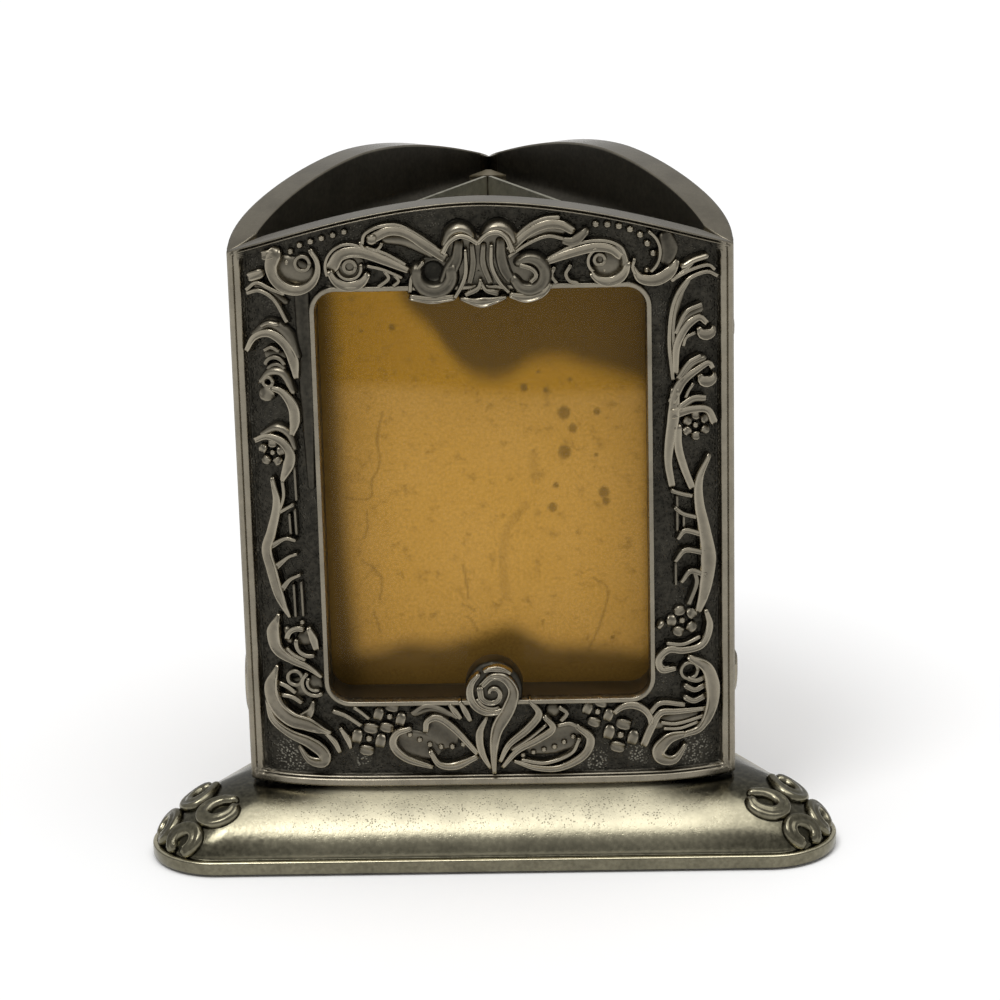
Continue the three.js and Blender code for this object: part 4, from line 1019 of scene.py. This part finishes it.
# Base
base = dict(
    lipApothem=-nodeBox("base_casting")[0][1], lipRadius=10.7, lipFoot=0.3, lipTop=2.4, ledge=1.4,
    height=10.3, topApothem=23.6, topRadius=5.0, flankPower=1.65, padMouth=32.9, padMouthRadius=8.5,
    padSeat=31.1, padSeatRadius=6.7, seat=1.65, hollowTop=7.3, bore=2.7, edge=0.3, arcSteps=70,
    sideSteps=60, flankSteps=48, topRings=(0.96, 0.7, 0.4),
    groove=(0.3, 0.08, 0.15),  # its two sides, out from the flank's foot, and its depth
    # how bright each face is; along the flank by the bearing from a corner in degrees, and by the height,
    # with painted shade towards its foot, at its top near the corners and between the scrolls
    # the lip carries a painted highlight along its rounded upper edge
    plainShine=0.22, topShine=0.3, lipHighlight=0.9, grooveShine=0.12, cornerShine=0.35, middleShine=0.6,
    flankFootShade=0.25, footShadeFade=(0.05, 0.75), pitted=(6, 22), pittedUp=(0.2, 0.85), topCornerShade=0.6,
    topCornerShadeUp=(0.7, 1.0), scrollShade=0.3, scrollShadeReach=(4.5, 8.5),
    # scrolls on each half corner: bearing and turn of the middle on the flank, then a stroke about it
    scrolls=[
        # a low dark dome: painted shade in the upper scroll's pocket
        (31, 50, dome(0, 0, 1.5, 0.12, 0.0)),
        (31, 50, band(arc(0, 0, (2.9, 1.9), 95, 390), (0.1, 0.3, 0.6, 0.6, 0.5, 0.3), 1.0, 0.26, 0.75)),
        # a low dark dome: painted shade inside the lower scroll
        (20, 22, dome(0, -0.6, 1.4, 0.14, 0.0)),
        (20, 22, band(arc(0, -0.5, 2.1, 225, -45), (0.3, 0.5, 0.5, 0.3), 1.0, 0.2, 0.8)),
        (20, 22, ridge(arc(0, -0.5, 1.4, 225, -45), 0.2, 0.9, 0.6))])
for size in ("Apothem", "Radius"):
    base["flank" + size] = base["lip" + size] - base["ledge"]


def flankSize(turn):
    # apothem, corner radius and height up the flank, on a squared quarter round from its foot to its top
    out, up = np.cos(turn) ** (2 / base["flankPower"]), np.sin(turn) ** (2 / base["flankPower"])
    return (base["topApothem"] + (base["flankApothem"] - base["topApothem"]) * out,
            base["topRadius"] + (base["flankRadius"] - base["topRadius"]) * out,
            base["lipTop"] + (base["height"] - base["lipTop"]) * up)


def flankPoint(bearing, turn):
    # point of the flank round one corner, which points along x
    apothem, radius, z = flankSize(turn)
    x = 2 * (apothem - radius) + radius * np.cos(bearing)
    return np.stack([x, radius * np.sin(bearing), z + 0 * bearing], -1)


def flankTurns(count, fineSteps=600):
    # turns that divide the flank's profile evenly
    fine = np.linspace(0, np.pi / 2, fineSteps)
    apothem, _, z = flankSize(fine)
    run = runOf(np.c_[apothem, z])
    return np.interp(np.linspace(0, run[-1], count), run, fine)


def flankScroll(bearing, turn, stroke, step=0.01, margin=0.02, fineSteps=600, spacing=0.3):
    # a stroke drawn on the flank as if it were rolled out flat: across the corner, and up the profile
    bearing, turn = math.radians(bearing), math.radians(turn)
    fine = np.linspace(margin, np.pi / 2 - margin, fineSteps)
    run = runOf(flankPoint(bearing + 0 * fine, fine))
    path = smoothPath(stroke["knots"], spacing)
    around = bearing + path[:, 0] / flankSize(turn)[1]
    upward = np.interp(np.interp(turn, fine, run) + path[:, 1], run, fine)
    normal = np.cross(flankPoint(around + step, upward) - flankPoint(around - step, upward),
                      flankPoint(around, upward + step) - flankPoint(around, upward - step))
    normal /= np.linalg.norm(normal, axis=1)[:, None]
    return flankPoint(around, upward), normal


def baseLoop(apothem, radius, z):
    # triangle with round corners: an arc at each corner and a straight run to the next
    bearing = np.radians(np.linspace(-60, 60, base["arcSteps"]))
    loops = []
    for corner in np.radians(corners):
        reach = 2 * (apothem - radius)
        loops.append(np.c_[reach * math.cos(corner) + radius * np.cos(corner + bearing),
                           reach * math.sin(corner) + radius * np.sin(corner + bearing)])
    share = np.linspace(0, 1, base["sideSteps"] + 2)[1:-1, None]
    parts = []
    for i in range(3):
        start, stop = loops[i][-1], loops[(i + 1) % 3][0]
        parts += [loops[i], start + share * (stop - start)]
    flat = np.vstack(parts)
    return np.c_[flat, np.full(len(flat), z)]


def boreLoop(z):
    # the round bore, with points spread as on the triangle
    shares = np.r_[np.linspace(-40, 40, base["arcSteps"]), np.linspace(40, 80, base["sideSteps"] + 2)[1:-1]]
    turn = np.radians(np.concatenate([shares + corner for corner in corners]))
    return np.c_[base["bore"] * np.cos(turn), base["bore"] * np.sin(turn), np.full(len(turn), z)]


def flankMarks(flank):
    # how bright and how pitted the flank is: bright along the middle of a side, with painted shade towards
    # its foot, at its top near a corner under the body, and between its scrolls
    bearing = np.degrees(np.arctan2(flank[..., 1], flank[..., 0]))
    corner = np.abs((bearing - corners[0] + 60) % 120 - 60)
    up = (flank[..., 2] - base["lipTop"]) / (base["height"] - base["lipTop"])
    pitted = ease(*base["pitted"], corner)
    worn = base["cornerShine"] + base["middleShine"] * pitted
    # painted shade, darker towards the flank's foot
    worn = worn * (base["flankFootShade"] + (1 - base["flankFootShade"]) * ease(*base["footShadeFade"], up))
    # painted shade at the top near a corner, under the body
    worn = worn * (1 - base["topCornerShade"] * (1 - pitted) * ease(*base["topCornerShadeUp"], up))
    # painted shade on the flank between the scrolls
    worn = worn * (base["scrollShade"] + (1 - base["scrollShade"]) * ease(*base["scrollShadeReach"], corner))
    return worn, pitted * ease(*base["pittedUp"], up)


def baseSolid():
    # underside, pad seat, lip, ledge, flank, flat top and bore, as rings of one closed shell
    lip, radius, edge = base["lipApothem"], base["lipRadius"], base["edge"]
    rings = [boreLoop(base["hollowTop"]),
             baseLoop(base["topApothem"], base["topRadius"], base["hollowTop"]),
             baseLoop(base["padSeat"], base["padSeatRadius"], base["seat"]),
             baseLoop(base["padMouth"], base["padMouthRadius"], base["seat"]),
             baseLoop(base["padMouth"], base["padMouthRadius"], base["lipFoot"])]
    for turn in np.linspace(0, np.pi / 2, 4):
        inward, upward = edge * (1 - np.sin(turn)), edge * (1 - np.cos(turn))
        rings.append(baseLoop(lip - inward, radius, base["lipFoot"] + upward))
    for turn in np.linspace(0, np.pi / 2, 5):
        inward, downward = edge * (1 - np.cos(turn)), edge * (1 - np.sin(turn))
        rings.append(baseLoop(lip - inward, radius, base["lipTop"] - downward))
    outer, inner, depth = base["groove"]
    rings.append(baseLoop(base["flankApothem"] + outer, base["flankRadius"], base["lipTop"]))
    rings.append(baseLoop(base["flankApothem"] + inner, base["flankRadius"], base["lipTop"] - depth))
    first = len(rings)
    rings += [baseLoop(*flankSize(turn)) for turn in flankTurns(base["flankSteps"])]
    last = len(rings)
    for share in base["topRings"]:
        rings.append(baseLoop(base["topApothem"] * share, base["topRadius"] * share, base["height"]))
    rings.append(boreLoop(base["height"]))
    points = np.array(rings)
    worn, pitted = np.full(points.shape[:2], base["plainShine"]), np.zeros(points.shape[:2])
    worn[first:last], pitted[first:last] = flankMarks(points[first:last])
    worn[last:] = base["topShine"]
    # painted highlight along the lip's rounded upper edge
    worn[first - 5:first - 2] = base["lipHighlight"]
    worn[first - 2:first + 1] = base["grooveShine"]
    return points.reshape(-1, 3), gridFaces(*worn.shape, True), worn.ravel(), pitted.ravel()


shells = [baseSolid()]
for bearing, turn, stroke in base["scrolls"]:
    path, normal = flankScroll(bearing, turn, stroke)
    for degrees in corners:
        for hand in (1, -1):
            mirror = np.array([1, hand, 1])
            placed = (turned(part * mirror, degrees) for part in (path, normal))
            shells.append(sweptBand(*placed, stroke))
shell = joinShells(shells)
makePiece("baseCasting", shell[0], shell[1], baseMaterial, "base", ["base_casting"],
          dict(worn=shell[2], pitted=shell[3]))
print("base made,", len(shell[1]) * 2, "triangles")


# Cards, with the stains of age, painted shadows and a painted glass reflection
card = dict(
    step=0.3, round=0.12, outermost=0.9999, slack=0.06,
    warp=0.05, warpAcross=2.2, warpUp=2.6, warpShift=0.4,
    # outlines of the painted shadows at the top, foot and left, and of the painted glass reflection that
    # lightens the card below it
    topShade=[(-14, 88), (-11.5, 84.7), (-7.7, 81), (-5, 77), (-1.3, 73.6), (3, 73.3), (7.3, 75.7),
              (11.6, 76.2), (17, 74.6), (26, 71.7)],
    footShade=[(-26, 28), (-17.4, 29.5), (-13, 30.9), (-7.7, 30.5), (-2.4, 31.6), (3, 33.2), (6.2, 31.6),
               (9.5, 30), (17, 29.5), (26, 28)],
    glassReflection=[(-26, 72.5), (-12, 72), (0, 70.8), (12, 70.5), (26, 71)],
    leftShade=[(14, -19.5), (30, -20.8), (50, -21.8), (90, -22.5)],
    # how dark the painted shadows are, and over what distance they fade
    topFade=(-2.4, 2.2), topLeft=(-15, -10), footShadeFade=(2.2, -2.0), leftFade=(2.0, -2.0),
    rightFade=(23.0, 25.0), glassReflectionFade=(1.5, -1.5), topDark=0.86, footDark=0.85, leftDark=0.85, rightShadeDark=0.5,
    # specks with their reach, and the half width and strength of cracks and smears
    speckDark=0.75, speckSquash=1.15, speckFade=(1.25, 0.7), crack=(0.3, 0.42), smear=(1.0, 0.22),
    lineStep=0.6, lineFull=0.3,
    specks=[(-18.3, 80.8, 0.3), (-13.7, 81.3, 0.55), (12, 67.5, 1.1), (13.3, 65, 0.75), (12, 61.3, 1.15),
            (16.8, 60.8, 0.35), (10.6, 56, 0.5), (17.9, 54.8, 0.95), (18.2, 53.3, 0.65), (8.2, 74, 0.35),
            (13, 72.7, 0.4), (9.3, 71, 0.5), (6, 71.5, 0.65), (17, 67.6, 0.6), (18.8, 31.2, 0.4),
            (10, 52.5, 0.8)],
    cracks=[[(-15.5, 68), (-16.5, 64), (-16.2, 60), (-17.6, 57), (-17.6, 55), (-18.5, 54.2), (-21.5, 54.5)],
            [(-18.5, 52.5), (-18.4, 50), (-19, 48)], [(-19.5, 44.3), (-17.5, 43), (-16.5, 41), (-17, 38)],
            [(-18, 36), (-17.5, 34.5), (-17, 32.5)], [(-4, 43.5), (-3.5, 40.5), (-3.2, 38)],
            [(-4.3, 37), (-3.3, 36.6), (-2.3, 36)], [(-3.5, 35), (-2.6, 34), (-2, 32.5)],
            [(16, 41), (18.3, 39), (17, 33.5), (15, 29)]],
    smears=[[(6, 53), (3, 49), (2.2, 44), (2.5, 38)], [(7.3, 61), (7.2, 57.5)]])


def cardSolid(low, high):
    # a thin sheet: a grid over its face and one over its rear, a little warped, with a wall between
    half = np.array([high[0] - low[0], high[2] - low[2]]) / 2
    middle = np.array([high[0] + low[0], high[2] + low[2]]) / 2
    x, z = (np.linspace(-1, 1, int(2 * size / card["step"])) for size in half)
    gridX, gridZ = np.meshgrid(x, z)
    warp = card["warp"] * np.cos(card["warpAcross"] * gridX)
    warp = warp * np.sin(card["warpUp"] * gridZ + card["warpShift"])
    edge = card["round"] * (np.maximum(np.abs(gridX), np.abs(gridZ)) > card["outermost"])
    placedX, placedZ = middle[0] + half[0] * gridX, middle[1] + half[1] * gridZ
    sheets = [np.stack([placedX, y + warp, placedZ], -1).reshape(-1, 3)
              for y in (low[1] + card["slack"] + edge, high[1] - card["slack"] - edge)]
    rows, columns = gridX.shape
    index = np.arange(rows * columns).reshape(rows, columns)
    quads = np.stack([index[:-1, :-1], index[:-1, 1:], index[1:, 1:], index[1:, :-1]], -1).reshape(-1, 4)
    loop = np.r_[index[0, :-1], index[:-1, -1], index[-1, :0:-1], index[:0:-1, 0]]
    after = np.roll(loop, -1)
    wall = np.c_[loop, loop + index.size, after + index.size, after]
    return np.vstack(sheets), np.vstack([quads, quads[:, ::-1] + index.size, wall])


def cardMarks(points):
    # how far each point is in painted shadow, stained, and under the painted glass reflection, from the
    # outlines and strokes above
    flat = points[:, [0, 2]]
    x, z = flat.T
    over = {key: z - np.interp(x, *smoothPath(card[key]).T) for key in ("topShade", "footShade", "glassReflection")}
    beside = x - np.interp(z, *smoothPath(card["leftShade"]).T)
    top = card["topDark"] * (ease(*card["topFade"], over["topShade"]) * ease(*card["topLeft"], x))
    foot = card["footDark"] * ease(*card["footShadeFade"], over["footShade"])
    left = card["leftDark"] * ease(*card["leftFade"], beside)
    # painted shadow that darkens the card towards its right edge
    right = card["rightShadeDark"] * ease(*card["rightFade"], x)
    shade = 1 - (1 - top) * (1 - foot) * (1 - left) * (1 - right)
    stain = np.zeros(len(flat))
    for sx, sz, reach in card["specks"]:
        away = np.hypot((x - sx) * card["speckSquash"], z - sz)
        edge, full = (share * reach for share in card["speckFade"])
        stain = np.maximum(stain, card["speckDark"] * ease(edge, full, away))
    for lines, (half, strength) in ((card["cracks"], card["crack"]), (card["smears"], card["smear"])):
        for knots in lines:
            gap = nearestOnPath(flat, smoothPath(knots, card["lineStep"]))[0]
            stain = np.maximum(stain, strength * ease(half, card["lineFull"] * half, gap))
    return dict(shade=shade, stain=stain, glassReflection=ease(*card["glassReflectionFade"], over["glassReflection"]))


cardLow, cardHigh = nodeBox("card_front")
cardPoints, cardFaces = cardSolid(cardLow, cardHigh)
cardStains = cardMarks(cardPoints)
cardUv = (cardPoints[:, [0, 2]] - cardLow[[0, 2]]) / (cardHigh[2] - cardLow[2])
for sideName, degrees in sides.items():
    makePiece("card." + sideName, turned(cardPoints, degrees), outwards(cardPoints, cardFaces),
              cardMaterial, "pack_" + sideName, ["card_" + sideName], cardStains, cardUv)
print("cards made")


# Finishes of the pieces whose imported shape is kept
kept = {"pane": pictureGlass(), "base_pad": padFelt(), "backing_plate": plain["dullSheet"]}
kept |= dict.fromkeys(("corner_post", "body_floor"), plain["darkCasting"])
kept |= dict.fromkeys(("floor_screw", "pivot_bolt", "spring_washer"), plain["boltSteel"])
kept |= dict.fromkeys(("thrust_washer", "pivot_nut"), plain["dullBrass"])
for nodeName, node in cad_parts.items():
    for start, material in kept.items():
        if nodeName.startswith(start):
            node.data.materials.clear()
            node.data.materials.append(material)
print("finishes given")


# Studio: white floor, a narrower and a wide soft sun, an even room, and the camera at the photograph's
# angle; each sun has its strength, its width in degrees and where it stands
studio = dict(floor=60.0, under=-5e-5, floorColour=(0.95, 0.95, 0.95, 1), floorRough=0.9, room=0.47,
              suns={"sunAhead": (0.9, 20, (-0.35, -0.5, 1.0)), "sunAbove": (1.3, 55, (0.1, -0.15, 1.0))})

floorMesh = bpy.data.meshes.new("floor")
reach, under = studio["floor"], studio["under"]
floorMesh.from_pydata([(-reach, -reach, under), (reach, -reach, under), (reach, reach, under),
                       (-reach, reach, under)], [], [(0, 1, 2, 3)])
floorMaterial, floorTree, floorShader = newMaterial("paleFloor")
setInputs(floorTree, floorShader, {"Base Color": studio["floorColour"], "Roughness": studio["floorRough"],
                                   "Specular IOR Level": 0.0})
floorMesh.materials.append(floorMaterial)
floor = bpy.data.objects.new("floor", floorMesh)
bpy.context.scene.collection.objects.link(floor)

world = bpy.data.worlds.new("studioRoom")
world.use_nodes = True
setInputs(world.node_tree, world.node_tree.nodes["Background"],
          {"Color": (1, 1, 1, 1), "Strength": studio["room"]})
bpy.context.scene.world = world


def axesAlong(back, side):
    # a turn whose third axis is the given one, with the first as near as can be to the side
    back = np.array(back) / np.linalg.norm(back)
    first = np.array(side) - np.dot(side, back) * back
    first /= np.linalg.norm(first)
    return Matrix(np.c_[first, np.cross(back, first), back].tolist()).to_4x4()


for name, (strength, width, towards) in studio["suns"].items():
    sun = bpy.data.lights.new(name, "SUN")
    sun.energy = strength
    sun.angle = math.radians(width)
    sunObject = bpy.data.objects.new(name, sun)
    sunObject.matrix_world = axesAlong(towards, (1, 0, 0))
    bpy.context.scene.collection.objects.link(sunObject)

view = dict(eye=(0.01537, -0.50999, 0.20935), yaw=-0.0271, pitch=0.3051, roll=-0.0245, focal=3.38828,
            film=36, nearest=0.01)
yaw, pitch, roll = view["yaw"], view["pitch"], view["roll"]
ahead = np.array([math.sin(yaw) * math.cos(pitch), math.cos(yaw) * math.cos(pitch), -math.sin(pitch)])
level = np.array([math.cos(yaw), -math.sin(yaw), 0])
cameraData = bpy.data.cameras.new("camera")
cameraData.sensor_width = view["film"]
cameraData.lens = view["film"] * view["focal"]
cameraData.clip_start = view["nearest"]
camera = bpy.data.objects.new("camera", cameraData)
across = math.cos(roll) * level + math.sin(roll) * np.cross(level, ahead)
camera.matrix_world = Matrix.Translation(view["eye"]) @ axesAlong(-ahead, across)
bpy.context.scene.collection.objects.link(camera)
bpy.context.scene.camera = camera
bpy.context.scene.view_settings.view_transform = "Standard"
print("studio set")
